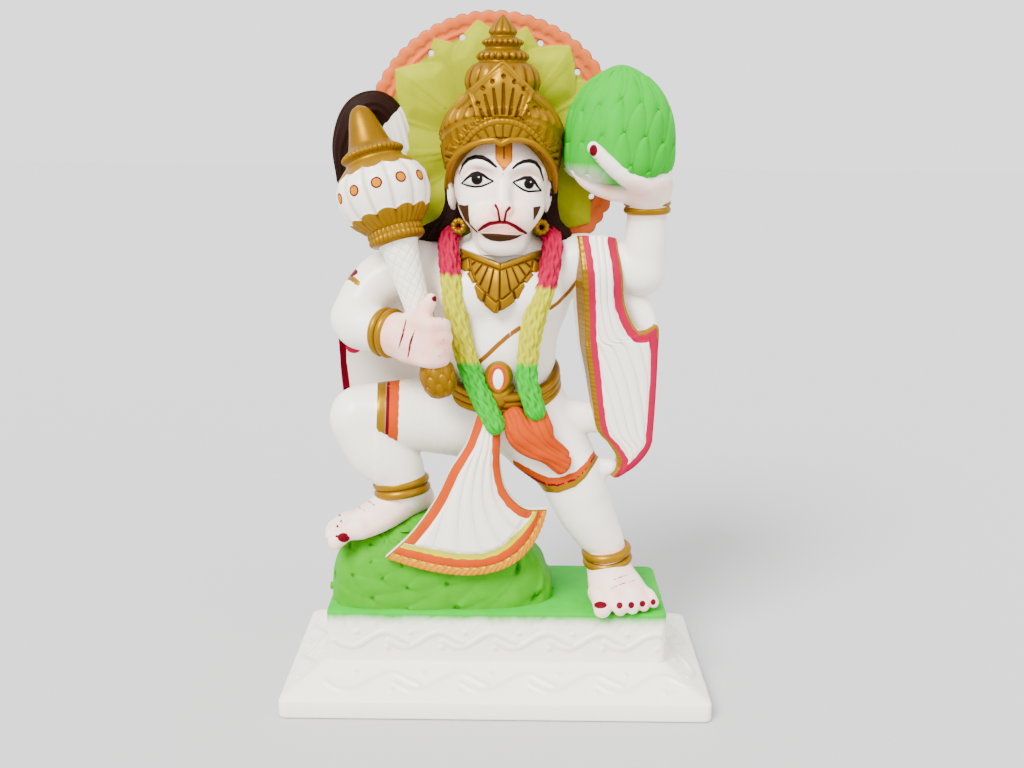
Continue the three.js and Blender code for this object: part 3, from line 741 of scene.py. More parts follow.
# Plinth
PLINTH_WIDTH, PLINTH_DEPTH = 240.0, 116.0
STEP_WIDTH, STEP_DEPTH = 192.0, 70.0
FOOT_TOP, SLOPE_TOP = 11.0, 24.0
CORNER, EDGE, BEVEL = 4.0, 1.6, 1.0


def wave_carving(s, w, pitch, count, swing):
    """A row of raised S curves, each starting under the last one's tail, with a dot above and below."""
    share = np.linspace(0, 1.36, 26)
    height = -swing * np.cos(2 * np.pi * (share - 0.3) / 1.3) * (1 - 0.35 * smoothstep(0.95, 1.36, share))
    best = np.zeros(np.broadcast(s, w).shape)
    for k in range(count):
        start = (k - count / 2) * pitch
        line = list(zip(start + share * pitch, height))
        near = (s > start - 3) & (s < start + 1.4 * pitch + 3)
        spot = np.nonzero(near)
        cord = ridge(curve_distance(s[spot], w[spot], line), 1.7)
        best[spot] = np.maximum(best[spot], cord)
        for along, above in ((0.42, 1.0), (0.98, -1.0)):
            away = np.hypot(s[spot] - start - along * pitch, w[spot] - above * swing)
            best[spot] = np.maximum(best[spot], ridge(away, 1.7) * 1.1)
    return best


def rounded_rectangle(width, depth, radius, spacing):
    """Points round a rectangle with round corners, as many for every width and depth."""
    points = []
    across, along = PLINTH_WIDTH / spacing, PLINTH_DEPTH / spacing
    for quarter, count in enumerate((along, across, along, across)):
        corner = [(1, -1), (1, 1), (-1, 1), (-1, -1)][quarter]
        ahead = [(1, 1), (-1, 1), (-1, -1), (1, -1)][quarter]
        half = np.array([width / 2 - radius, depth / 2 - radius])
        outward = np.array([[1, 0], [0, 1], [-1, 0], [0, -1]][quarter])
        for t in np.linspace(0, 1, int(count))[:, None]:
            points.append((half * corner) * (1 - t) + (half * ahead) * t + outward * radius)
        for step in np.linspace(0, np.pi / 2, 7)[1:-1]:
            angle = quarter * np.pi / 2 + step
            points.append(half * ahead + radius * np.array([np.cos(angle), np.sin(angle)]))
    return np.array(points)


def plinth():
    slope = [
        (PLINTH_WIDTH + (STEP_WIDTH - PLINTH_WIDTH) * t, PLINTH_DEPTH + (STEP_DEPTH - PLINTH_DEPTH) * t,
         FOOT_TOP + (SLOPE_TOP - FOOT_TOP) * t)
        for t in np.linspace(0.05, 1, int(34 / COARSE))
    ]
    bend = [(EDGE * (1 - math.cos(a)), EDGE * (1 - math.sin(a))) for a in np.linspace(0, np.pi / 2, 5)]
    foot = [(PLINTH_WIDTH - 2 * a, PLINTH_DEPTH - 2 * a, b) for a, b in bend[::-1]]
    bevel = [(BEVEL * (1 - math.cos(a)), BEVEL * (1 - math.sin(a))) for a in np.linspace(0, np.pi / 2, 4)]
    foot += [(PLINTH_WIDTH - 2 * a, PLINTH_DEPTH - 2 * a, FOOT_TOP - b) for a, b in bevel[:-1]]
    heights = np.linspace(SLOPE_TOP, STEP_TOP - EDGE, int(38 / COARSE))
    side = [(STEP_WIDTH, STEP_DEPTH, z) for z in heights[1:]]
    side += [(STEP_WIDTH - 2 * a, STEP_DEPTH - 2 * a, STEP_TOP - b) for a, b in bend[1:]]
    side += [(STEP_WIDTH * s, STEP_DEPTH * s, STEP_TOP) for s in (0.85, 0.4)]
    profile = [*foot, *slope, *side]
    rings = []
    for width, depth, z in profile:
        flat = rounded_rectangle(width, depth, min(CORNER, depth / 2.2), 0.85 * COARSE)
        rings.append(np.column_stack([flat, np.full(len(flat), z - STEP_TOP)]))
    base = np.array(rings)
    normal = unit(np.cross(np.gradient(base, axis=1), np.gradient(base, axis=0)))
    x, y, z = base[..., 0], base[..., 1], base[..., 2] + STEP_TOP
    grow = np.zeros(x.shape)
    on_slope = (z > FOOT_TOP) & (z < SLOPE_TOP)
    on_side = (z >= SLOPE_TOP) & (z < STEP_TOP)
    slope_length = math.hypot((PLINTH_DEPTH - STEP_DEPTH) / 2, SLOPE_TOP - FOOT_TOP)
    up_slope = ((z - FOOT_TOP) / (SLOPE_TOP - FOOT_TOP) - 0.5) * slope_length
    for facing, along, slopes, steps in (
        (-normal[..., 1], x, 5, 6), (normal[..., 1], -x, 5, 6), (normal[..., 0], y, 2, 2),
        (-normal[..., 0], -y, 2, 2)
    ):
        for where, w, pitch, count, swing in (
            (on_slope & (facing > 0.3), up_slope, 38.0, slopes, 5.6),
            (on_side & (facing > 0.9), z - 37.0, 30.5, steps, 4.6),
        ):
            spot = np.nonzero(where)
            grow[spot] += wave_carving(along[spot], w[spot], pitch, count, swing)
    flat = base.reshape(-1, 3)
    uneven = (0.10 * ripples(flat, 17, 3).reshape(x.shape) - 0.18) * (z > 2) * (z < STEP_TOP)
    skin = loft(base + normal * (grow + uneven)[..., None])
    height = skin.points[:, 2]
    spray = smoothstep(-7.5, -2.0, height + 0.7 * ripples(skin.points, 21, 5))
    stain = 1.1 - np.hypot(skin.points[:, 0] + 6.5, skin.points[:, 2] + STEP_TOP - 7.4)
    stain = np.where(skin.points[:, 1] < 0, stain, -1)
    # Painted shade on the carved waves and dots of the plinth.
    hollow = np.concatenate([(0.30 * (1 - ridge(grow - 0.4, 0.5)) * (grow > 0.02)).reshape(-1), [0, 0]])
    return thinned_fields(skin, 46000, green=0.33 * spray, umber=stain, hollow=hollow)


# Rock under the raised foot
MOUND = [
    (-92.5, 22, 20), (-88, 34, 27.5), (-77, 41, 31), (-62, 45.5, 32), (-46, 50, 32), (-32, 50, 31.5),
    (-14, 42, 31), (2, 34.5, 29), (15, 30, 26), (25, 21.5, 21), (29, 12, 17),
]
SWIRL_MIDDLE = (-62.0, 40.0)


def rock_leaves(points):
    """Long leaves that sweep round a hollow under the loincloth: measures across and along them."""
    dx, dz = points[:, 0] - SWIRL_MIDDLE[0], points[:, 2] - SWIRL_MIDDLE[1]
    inward = 0.55 * np.maximum(points[:, 1] + 20, 0)
    reach = np.hypot(dx * np.where(dx > 0, 0.62, 1), dz) + inward
    turn = np.arctan2(-dz, -dx)
    return reach + 2.2 * turn + 1.2 * np.sin(2.3 * turn), turn * 27 + 0.3 * reach


def rock():
    block = Block((-99, -36, -3), (33, 36, 50), 0.85)
    x, y, z = block.places()
    knots = spline(MOUND, 8)
    reach = np.clip(x, MOUND[0][0], MOUND[-1][0])
    past = np.abs(x - reach)
    top = np.interp(reach, knots[:, 0], knots[:, 1])
    half = np.interp(reach, knots[:, 0], knots[:, 2])
    shrink = np.sqrt(np.clip(1 - (past / 3.5) ** 2, 0.02, 1))
    shell = ((np.abs(y) / (half * shrink)) ** 3 + (np.maximum(z, 0) / (top * shrink)) ** 3) ** (1 / 3)
    block.values = ((shell - 1) * np.minimum(half, top) * 0.75 + (past > 3.5) * 5).astype(np.float32)
    block.values = np.maximum(block.values, (-2 - z).astype(np.float32))
    size = (12.5, 31.0)
    block.swell(lambda p: 1.9 * leaves(*rock_leaves(p), *size) - 1.4 + 0.2 * ripples(p, 9, 8))
    skin = thinned(block.skin(), 42000)
    u, v = rock_leaves(skin.points)
    leaf = leaves(u, v, *size)
    dots = smoothstep(1.5, 0.7, leaf_tips(u, v, *size))
    # Painted shade between the carved leaves, and dark dots at the leaf tips.
    hollow = np.clip(0.9 - leaf * 1.6, 0, 0.6) + 0.8 * dots
    return coats(skin, moss=1.0, hollow=np.minimum(hollow, 1))


# Mountain carried on the palm
MOUNTAIN_CENTRE = (63.2, -2.0)
MOUNTAIN = [
    (235.5, 10), (237.5, 20), (241, 26.5), (247, 29.8), (258, 30.2), (269, 28.8), (279, 25.2),
    (287, 19.6), (293, 12.6), (297, 5), (298, 0.5),
]


def mountain():
    stations = spline([(0, 0, z, r, r) for z, r in MOUNTAIN], int(22 / COARSE))
    turn = np.linspace(0, 2 * np.pi, int(330 / COARSE), endpoint=False)[None, :]
    z = stations[:, 2][:, None]
    radius = np.maximum(stations[:, 3], 0.3)[:, None]
    columns = 15
    u = turn * columns / (2 * np.pi) + 0.018 * (300 - z) + 0.10 * np.sin(z / 9 + 2 * turn)
    leaf = leaves(u, 310 - z + 3 * np.sin(3 * turn), 1.0, 33)
    knob = np.exp(-((turn - 1.55 * np.pi) * radius / 4.5) ** 2 - ((z - 291) / 4.5) ** 2)
    relief = 3.6 * leaf - 3.0 + 1.6 * knob
    reach = radius + relief * smoothstep(0, 14, radius)
    x = MOUNTAIN_CENTRE[0] + reach * np.cos(turn)
    y = MOUNTAIN_CENTRE[1] + 0.92 * reach * np.sin(turn)
    bare = smoothstep(250, 238, z) * smoothstep(62, 44, x)
    # Painted shade between the carved leaves of the mountain.
    hollow = np.clip(1 - leaf * 1.5, 0, 0.8)
    skin = loft(np.stack([x, y, z + 0 * turn], -1), {"hollow": hollow, "green": 0.33 - 0.24 * bare})
    return thinned(skin, 48000)


# Trunk, arms and legs
RAISED_THIGH = [(-16, 4, 104, 24, 23), (-40, -1, 106, 21), (-62, -6, 107, 18.5), (-78.2, -9, 108, 15.5)]
RAISED_SHIN = [(-78, -9, 105, 16.5), (-68, -10, 88, 17.5, 16), (-57.5, -8, 76, 14.6), (-55, -7, 60, 12.4)]
STRAIGHT_THIGH = [(12, 4, 108, 25, 23), (26, 0, 92, 22.5, 21), (39.5, -5, 76, 17.5, 17),
                  (45, -6, 66, 15.5)]
STRAIGHT_SHIN = [
    (42, -6, 70, 16.5), (48.8, -5, 54, 16.3), (56, -3.4, 40, 14), (61.5, -2.4, 31, 11.8),
    (64.6, -1.4, 17, 11),
]
MACE_ARM = [(-30, 6, 188, 14), (-57, 6, 185, 15.5), (-70, 3, 177, 14.8), (-77, -2, 166, 14.2),
            (-76, -11, 158, 12.5)]
MACE_FOREARM = [(-80, -6, 161, 13), (-68, -16, 157.5, 12), (-60, -21, 156.8, 10.8), (-52, -26, 156, 11)]
MOUNTAIN_ARM = [(28, 6, 189, 14), (52, 5, 192.5, 14.5), (66, 3, 189.5, 13.5), (77, 1, 187, 12.2)]
MOUNTAIN_FOREARM = [(78.8, 1, 189, 12.2), (79.1, 0, 206, 11.6), (79.8, 0, 221, 10.2),
                    (79.5, 0, 230, 10.6)]
TRUNK = [
    (92, 2, 5, 26, 19), (100, 2, 4.5, 31, 22), (113, 2, 4, 34, 24), (124, 1.7, 4, 32, 23),
    (133, 1.5, 4, 30.5, 22), (142, 0.7, 4, 31, 22), (152, 0, 4, 33, 23), (163, 0, 4, 37, 24),
    (174, 0, 4, 40.5, 24.5), (184, -0.5, 4.5, 43.5, 23.5), (193, -1, 5.5, 43, 20),
    (200, -1, 6, 36, 16), (206, -0.5, 6, 24, 13),
]


def trunk(x, y, z):
    rows = spline(TRUNK, 5)
    level = np.clip(z, rows[0, 0], rows[-1, 0])
    middle_x, middle_y, half_x, half_y = (np.interp(level, rows[:, 0], rows[:, k]) for k in (1, 2, 3, 4))
    u, v = (x - middle_x) / half_x, (y - middle_y) / half_y
    shell = np.sqrt(u * u + v * v)
    away = np.hypot(x - middle_x, y - middle_y)
    sides = away * (1 - 1 / np.maximum(shell, 0.05))
    return soft_max(sides, np.abs(z - 149) - 57, 6)


STRAIGHT_HEM = [(8, 77), (21.6, 69.5), (27.6, 66.9), (33.8, 66.6), (43.2, 70.3), (48.7, 75.7),
                (53.0, 82.8), (60, 96)]


def thigh_hem(points):
    """Depth inside the shorts, from the hem of the raised leg and of the straight one."""
    x, z = points[:, 0], points[:, 2]
    raised = x + 66.6 - 0.045 * (z - 119)
    straight = (z - np.interp(x, *zip(*STRAIGHT_HEM))) * 0.88
    return np.where(x < 8, raised, straight)


def on_thigh(points):
    """Whether points of the raised leg lie on its thigh and not on its calf."""
    return (points[:, 0] > 8) | (limb_depth(points, RAISED_THIGH) > limb_depth(points, RAISED_SHIN))


THREAD_UPPER = [(43.5, 191), (37, 182), (31, 175.5), (27, 172.5)]
THREAD_LOWER = [(11, 161.8), (5, 157.5), (-0.5, 152.5), (-6, 147), (-10.5, 143)]
ARMLET = [(-91, 184), (-86.5, 184.4), (-82, 183), (-78.5, 180.2)]


def limbs():
    block = Block((-97, -34, 6), (97, 34, 232), 0.95)
    block.join((-46, -22, 90), (46, 30, 208), trunk)
    block.egg((-15.5, -14, 177), (17, 9, 13), 8)
    block.egg((16.5, -14, 177), (17, 9, 13), 8)
    block.egg((0, -12, 146), (19, 11, 17), 9)
    for stations, blend in (
        (RAISED_THIGH, 6), (STRAIGHT_THIGH, 6), (MACE_ARM, 7), (MOUNTAIN_ARM, 7), (RAISED_SHIN, 1.6),
        (STRAIGHT_SHIN, 5), (MACE_FOREARM, 4), (MOUNTAIN_FOREARM, 4),
    ):
        block.limb(stations, blend)
    block.egg((-45, 5, 190), (16, 14.5, 14), 8)
    block.egg((43, 5, 193), (15, 14, 13.5), 8)
    block.limb([(0, 5, 198, 19, 15), (0, 2, 206, 16, 15), (0.5, -1, 220, 16.5, 16)], 5)
    block.limb([(36, 0, 106, 9, 8), (60, -6, 105, 7, 5)], 3)
    block.limb([(48, -3, 74, 8, 7), (64, -8, 78, 4.6, 4.4)], 3)

    def cloth(p):
        return 0.18 * ripples(p, 23, 11) + 0.6 * smoothstep(-0.2, 0.5, thigh_hem(p)) * (p[:, 2] < 124)

    block.swell(cloth)
    skin = thinned(block.skin(), 104000)
    p = skin.points
    x, z = front_view(p, -22)
    hem = thigh_hem(np.stack([x, p[:, 1], z], -1))
    left = p[:, 0] < 8
    banded = (p[:, 1] < 12) & (p[:, 2] < 136) & on_thigh(p)
    edge = 0.25 * ripples(p, 4, 12)
    gold_band = np.where(left, 2.6 - np.abs(hem - 2.6), 1.9 - np.abs(hem - 1.9))
    red_line = np.where(left, 1.1 - np.abs(hem - 6.0), 0.8 - np.abs(hem - 4.2))
    orange_band = np.where(left, 3.6 - np.abs(hem - 8.8), 2.7 - np.abs(hem - 5.6)) + edge
    thread_x, thread_z = front_view(p)
    thread = np.maximum(stroke(thread_x, thread_z, THREAD_UPPER, 2.2),
                        stroke(thread_x, thread_z, THREAD_LOWER, 2.8))
    thread = np.where((p[:, 1] < -2) & (p[:, 2] > 134), thread, -1)
    arm_x, arm_z = front_view(p, 0)
    armlet = stroke(arm_x, arm_z, ARMLET, 3.4)
    blob = 2.6 - np.hypot((arm_x + 82.4) * 0.6, arm_z - 186.4)
    near_arm = (p[:, 0] < -70) & (p[:, 2] > 170)
    return coats(
        skin,
        # Painted shade in the creases between limbs and trunk, by how much stone surrounds each point.
        hollow=0.75 * block.crease(p, 8),
        orange=np.where(banded, orange_band, -1),
        gold=np.maximum(np.where(banded, gold_band, -1), np.where(near_arm, armlet, -1)),
        ochre=thread,
        crimson=np.maximum(np.where(banded, red_line, -1), np.where(near_arm, blob, -1)),
        incised=np.where(left & on_thigh(p) & (p[:, 1] < 8),
                         smoothstep(11, 15, hem) * smoothstep(134, 128, p[:, 2]), 0),
    )


# Hands and feet
def mace_hand(block):
    block.limb(MACE_FOREARM[1:], 0)
    block.limb([(-56, -24, 156.5, 11), (-48, -30, 156, 12, 10.5), (-40, -34, 156, 11.6, 10)], 4)
    for z, reach in ((165.5, 0), (159, 1), (152.8, 0.5), (147, -0.5)):
        block.limb(
            [(-49, -33, z, 4.2), (-42, -40, z + 0.3, 4.5), (-35 + reach, -44.5, z, 4.4),
             (-30 + reach, -42.5, z - 0.5, 4.1),
             (-28.5 + reach, -38.5, z - 1, 3.6)],
            3.4,
        )
    block.limb([(-45, -33, 163, 6), (-40, -37.5, 170, 4.6), (-36.6, -38.5, 175.6, 3.7),
                (-35.3, -38.5, 178.4, 3.0)], 3)


def palm_hand(block):
    block.limb(MOUNTAIN_FOREARM[1:], 0)
    block.limb([(79.5, 0, 226, 10.8), (79.3, -1, 232, 13, 14.5), (78, -2, 236.5, 15, 16.5)], 4)
    for y in (-11, -3.5, 4.5, 11.5):
        block.limb([(80, y, 233, 5.6), (68, y, 231.8, 5.2), (57, y, 233, 4.6), (46.5, y, 237.4, 4),
                    (40.5, 0.9 * y, 243.5, 3.4)], 2.4)
    block.limb(
        [(82, -12, 238, 6), (76, -18, 236.5, 5.6), (66, -24, 240.5, 4.8), (57.5, -27.5, 246.5, 4.1),
         (51, -28.8, 252.5, 3.6),
         (47.6, -28.8, 256, 3.2)],
        4,
    )


def toes(block, tips, roots, sizes):
    for tip, root, size in zip(tips, roots, sizes):
        middle = [0.5 * (a + b) + lift for a, b, lift in zip(tip, root, (0, 0, 1.6))]
        block.limb([(*root, size * 1.1), (*middle, size * 1.0), (*tip, size * 0.94)], 2.0)


STRAIGHT_TOES = [(59, -38, 4.4), (69, -37, 4.1), (76, -35.5, 4.2), (82.6, -33, 4.6), (88.3, -30, 5.2)]
STRAIGHT_SIZES = [5.2, 4.0, 3.8, 3.6, 3.4]
RAISED_TOES = [(-89.5, -31.5, 40.5), (-93, -24.5, 41.5), (-94, -18.5, 42), (-94, -12.5, 42),
               (-93, -7, 42)]
RAISED_SIZES = [4.9, 3.9, 3.7, 3.5, 3.2]


def straight_foot(block):
    block.limb(STRAIGHT_SHIN[3:], 0)
    block.limb([(64, 8, 9, 9, 8.5), (65, -3, 12, 12, 11), (68, -13, 10, 15.5, 8.8),
                (70.5, -23, 6.4, 17.2, 6)], 4, squash=(0, 0, 1))
    block.limb([(65, -1, 20, 11.2), (66.5, -2, 12, 11.5)], 4)
    roots = [(57.5, -22, 6.8), (66.5, -24, 7.2), (73.5, -23, 7), (79.8, -21.5, 6.6), (84.8, -20, 6)]
    toes(block, STRAIGHT_TOES, roots, STRAIGHT_SIZES)


def raised_foot(block):
    block.limb(RAISED_SHIN[2:], 0)
    block.limb([(-46, 3, 54, 9, 10), (-55, -5, 56, 12, 11), (-67, -14, 50, 12.5, 9),
                (-79, -20, 45, 13, 6.5)], 4, squash=(0, 0, 1))
    roots = [(-77, -27, 47), (-80, -21.5, 48), (-81, -17, 48), (-81, -12.5, 47.5), (-80, -8.5, 47)]
    toes(block, RAISED_TOES, roots, RAISED_SIZES)


def nail(points, x, z, tip, half_x, half_z, reach):
    """Depth inside a painted nail, seen from the front, on the digit that ends at the tip."""
    across, up = front_view(points)
    depth = 1 - np.hypot((across - x) / half_x, (up - z) / half_z)
    near = np.linalg.norm(points - np.array(tip), axis=1) < reach
    return np.where(near, depth * min(half_x, half_z), -1)


HAND_STROKES = [[(-49.2, 165.5), (-51.2, 157.3), (-53.3, 150.5)],
                [(-44.8, 160.1), (-47, 153.3), (-48.5, 145.1)]]
FINGER_DOTS = [
    (-35.2, 167.6), (-34.6, 162.3), (-33.7, 156.9), (-32.7, 150.8), (-32, 146), (-30.2, 166.3),
    (-29.7, 160.3), (-29.3, 154.9), (-28.7, 149.4), (-28.3, 144),
]
THUMB_STROKES = [[(48.2, 250.1), (50.2, 250.6)], [(48.7, 247.6), (50.9, 248.3)]]
STRAIGHT_NAILS = [(58.6, 3.2), (69.4, 3.1), (76, 3.4), (82.3, 4.3), (88.3, 5.4)]
STRAIGHT_NAIL_HALVES = [(4.0, 2.4), (2.0, 2.3), (2.0, 2.3), (1.9, 2.2), (1.7, 2.2)]
RAISED_NAIL = (-85.4, 42.1)
TOE_SPOTS = [(-89.4, 42.8), (-88.7, 48.8), (-86.5, 51.7), (-87.4, 55.4)]
STRAIGHT_FOOT_STROKES = [
    [(63.3, 17.7), (69.1, 20.1), (74.3, 22.4)], [(64.8, 13.7), (70.6, 16.3), (77.6, 18.7)],
    [(63.7, 12.4), (65.8, 14.3)],
]
RAISED_FOOT_STROKES = [
    [(-78.8, 57.4), (-76.7, 55.5), (-74.3, 54.1)], [(-73.3, 60.8), (-71, 59.3), (-68.9, 57.5)],
]


def hands_and_feet():
    skins = []
    for low, high, build in (
        ((-72, -54, 136), (-20, -8, 186), mace_hand),
        ((30, -36, 214), (98, 22, 264), palm_hand),
        ((48, -46, -3), (96, 20, 34), straight_foot),
        ((-101, -40, 34), (-34, 16, 74), raised_foot),
    ):
        block = Block(low, high, 0.6)
        build(block)
        block.swell(lambda p: 0.10 * ripples(p, 8, 21))
        skins.append(thinned(block.skin(), 23000))
    for skin in skins:
        p = skin.points
        x, z = front_view(p)
        mace_side = (p[:, 0] < 0) & (p[:, 2] > 100)
        palm_side = (p[:, 0] > 0) & (p[:, 2] > 100)
        marks = np.maximum(stroke(x, z, HAND_STROKES[0], [0.9, 1.6, 1.0]),
                           stroke(x, z, HAND_STROKES[1], [0.9, 1.7, 1.0]))
        marks = np.where(mace_side, marks, -1)
        for spot in FINGER_DOTS:
            dot = 0.55 - np.hypot(x - spot[0], z - spot[1])
            marks = np.maximum(marks, np.where(mace_side & (p[:, 1] < -36), dot, -1))
        thumb = 1.5 * (1 - np.hypot((x + 33.7) / 2.2, (z - 177) / 1.8))
        marks = np.maximum(marks, np.where(mace_side, thumb, -1))
        thumb = 2.0 * (1 - np.hypot((x - 47.6) / 2.3, (z - 254.6) / 3.3))
        marks = np.maximum(marks, np.where(palm_side, thumb, -1))
        for line in THUMB_STROKES:
            marks = np.maximum(marks, np.where(palm_side & (p[:, 1] < -12), stroke(x, z, line, 0.9), -1))
        feet = p[:, 2] < 100
        for (nail_x, nail_z), half, tip in zip(STRAIGHT_NAILS, STRAIGHT_NAIL_HALVES, STRAIGHT_TOES):
            marks = np.maximum(marks, nail(p, nail_x, nail_z, tip, *half, 9))
        marks = np.maximum(marks, nail(p, *RAISED_NAIL, RAISED_TOES[0], 3.7, 3.0, 9))
        for spot in TOE_SPOTS:
            dot = 0.9 - np.hypot(x - spot[0], (z - spot[1]) * 0.8)
            marks = np.maximum(marks, np.where(feet & (p[:, 0] < 0), dot, -1))
        for line in STRAIGHT_FOOT_STROKES:
            marks = np.maximum(marks,
                               np.where(feet, stroke(x, z, line, [0.7, 1.1, 0.8][: len(line)]), -1))
        top_x, top_z = front_view(p, -20)
        for line in RAISED_FOOT_STROKES:
            marks = np.maximum(marks, np.where(feet, stroke(top_x, top_z, line, [1.1, 1.4, 0.9]), -1))
        blush = 0.14 + 0.07 * ripples(p, 14, 31) + 0.10 * mace_side
        coats(skin, crimson=marks, blush=blush * (~palm_side | (z < 240)))
    return skins


# Mace
MACE_FOOT, MACE_TIP = (-28.5, -41, 126), (-76, -3.3, 275.5)
MACE_LENGTH = math.dist(MACE_FOOT, MACE_TIP)
MACE_PROFILE = [
    (0, 2.6), (0.012, 6.2), (0.035, 8.4), (0.07, 9.4), (0.1, 8.9), (0.128, 7.2), (0.2, 6.4),
    (0.3, 6.8), (0.42, 8.4), (0.52, 10.2), (0.531, 13.4), (0.545, 14.4), (0.575, 14.4), (0.59, 16.2),
    (0.615, 19.8), (0.66, 23.4), (0.71, 24.8), (0.75, 23.0), (0.785, 18.2), (0.806, 14.8),
    (0.818, 15.0), (0.832, 16.2), (0.846, 14.6), (0.86, 12.0), (0.9, 9.7), (0.95, 7.3), (0.985, 4.6),
    (1, 0.6),
]
LOBES = 12
FRONT_LOBE = math.radians(3)


def mace():
    def lobe(angle):
        return np.abs(np.cos((angle - FRONT_LOBE) * LOBES / 2))

    def hatch(share, angle):
        run = share * MACE_LENGTH / 6.2
        one = np.abs((angle * 9 / (2 * np.pi) + run) % 1 - 0.5)
        two = np.abs((angle * 9 / (2 * np.pi) - run) % 1 - 0.5)
        return np.maximum(smoothstep(0.40, 0.5, one), smoothstep(0.40, 0.5, two))

    def upper(angle):
        return 0.776 - 0.014 * lobe(angle)

    def lower(angle):
        return 0.618 + 0.011 * lobe(angle) ** 0.8

    def carve(share, angle):
        zero = share * 0 + angle * 0
        shaft = smoothstep(0.13, 0.15, share) * (1 - smoothstep(0.505, 0.52, share))
        head = smoothstep(0.59, 0.63, share) * (1 - smoothstep(0.765, 0.79, share))
        flutes = 1.9 * head * (lobe(angle) ** 0.45 - 0.75)
        gold_above = smoothstep(-0.004, 0.004, share - upper(angle))
        gold_below = smoothstep(-0.004, 0.004, lower(angle) - share) * (share > 0.53)
        wave = 0.6 + 0.4 * np.cos((angle - FRONT_LOBE) * LOBES * 3)
        petals = 0.9 * gold_below * (share > 0.578) * wave
        tips = 0.8 * gold_above * (share < 0.812)
        beads = 0.8 * (np.cos(angle * 34) * 0.5 + 0.5)
        collar = beads * (ridge(share - 0.546, 0.010) + ridge(share - 0.566, 0.010))
        brim = 0.9 * (np.cos(angle * 40) * 0.5 + 0.5) * ridge(share - 0.832, 0.012)
        bud_leaves = leaves(angle * 8 / (2 * np.pi), (0.13 - share) * MACE_LENGTH + zero, 1.0, 9)
        bud = 1.5 * (bud_leaves - 0.7) * (share < 0.115)
        return zero - 0.32 * shaft * hatch(share, angle) + flutes + petals + tips + collar + brim + bud

    skin = turned(MACE_FOOT, MACE_TIP, MACE_PROFILE, int(236 / COARSE), int(330 / COARSE), carve)
    share, angle = skin.fields["share"], skin.fields["turn"]
    shaft = (share > 0.13) & (share < 0.52)
    gold = np.maximum((share - upper(angle)) * MACE_LENGTH, (lower(angle) - share) * MACE_LENGTH)
    gold = np.where(share < 0.527, (0.121 - share) * MACE_LENGTH, gold)
    turn_off = ((angle - FRONT_LOBE) * LOBES / (2 * np.pi) + 0.5) % 1 - 0.5
    away = np.hypot(turn_off * 2 * np.pi / LOBES * 24, (share - 0.708) * MACE_LENGTH)
    relief = skin.fields["relief"]
    # Painted shade in the gold grooves, in the cut cross-hatching of the shaft and between the lobes of
    # the head.
    grooves = np.clip(0.5 - relief, 0, 1) * (gold > 0) * 0.75
    between_lobes = 0.4 * (gold < 0) * ~shaft * smoothstep(0.5, 0.05, lobe(angle))
    hollow = grooves + 0.32 * shaft * hatch(share, angle) + between_lobes
    return thinned_fields(skin, 66000, gold=gold, crimson=3.2 - away, amber=2.3 - away, hollow=hollow)


# Crown
CROWN_MIDDLE = (0.5, -1.0)
CROWN_BACK = 26.0
RIM_HEIGHTS = [
    (-180, 216), (-130, 222), (-96, 232), (-80, 238), (-62, 245.4), (-47, 251.5), (-33, 255.4),
    (-19, 258), (-7, 258.8), (0, 256.8), (7, 258.8), (19, 259.2), (31, 257.6), (45, 253.3),
    (62, 246.6), (80, 239), (96, 232), (130, 222), (180, 216),
]
CROWN_RINGS = [(248, 31.4, 0.62), (259, 33.4, 0.42), (269, 30.4, 0.26), (278, 24, 0.1), (285, 18.4, 0)]
ARCH_MIDDLE, ARCH_RADIUS = (1.3, 246.1), 22.6
PANEL = [(-11.6, 271), (-15.8, 283), (1.0, 297.6), (16.2, 283), (11.4, 271)]
RIB_TURN = 7.4


def rim_place(turn):
    """A point of the crown's rim, by degrees from the front towards the viewer's right."""
    height = np.interp(turn, *zip(*RIM_HEIGHTS))
    radius = 30.6 - 1.6 * smoothstep(50, 85, np.abs(turn))
    angle = np.radians(turn)
    x = CROWN_MIDDLE[0] + radius * np.sin(angle)
    y = CROWN_MIDDLE[1] - 0.94 * radius * np.cos(angle)
    return np.stack([x, y, height], -1)


def crown_bowl():
    turn = np.linspace(180, -180, int(360 / COARSE), endpoint=False)
    angle = np.radians(turn)
    levels = [rim_place(turn)]
    for level, radius, slant in CROWN_RINGS:
        y = -0.94 * radius * np.cos(angle)
        levels.append(np.stack([CROWN_MIDDLE[0] + radius * np.sin(angle), CROWN_MIDDLE[1] + y,
                                level - slant * y], -1))
    knots = np.array(levels).reshape(len(levels), -1)
    rows = spline(knots, int(20 / COARSE)).reshape(-1, len(turn), 3)
    lip = rows[:1] * [0.62, 0.62, 1] + [0, 0, 1.5]
    normal = unit(np.cross(np.gradient(rows, axis=1), np.gradient(rows, axis=0)))
    up = np.linspace(0, 1, len(rows))[:, None]
    rib = np.abs(np.cos(np.radians(turn) * 18))[None, :]
    band = ridge((up - 0.10) * 10, 0.5) + ridge((up - 0.36) * 10, 0.45)
    teeth = smoothstep(0.12, 0.16, up) * (1 - smoothstep(0.30, 0.34, up))
    ribs = smoothstep(0.38, 0.42, up) * (1 - smoothstep(0.86, 0.92, up))
    grow = 0.9 * band + (teeth * 0.8 + ribs * 1.0) * (rib**0.6 - 0.6)
    skin = loft(np.concatenate([lip, rows + normal * grow[..., None]]))
    # Painted shade between the ribs and teeth of the crown.
    hollow = np.clip(0.75 * (0.75 - rib) * (teeth + ribs), 0, 0.7)
    plain = np.zeros(len(turn))
    return coats(skin, gold=1.0,
                 hollow=np.concatenate([plain, hollow.reshape(-1), [0, 0]]))


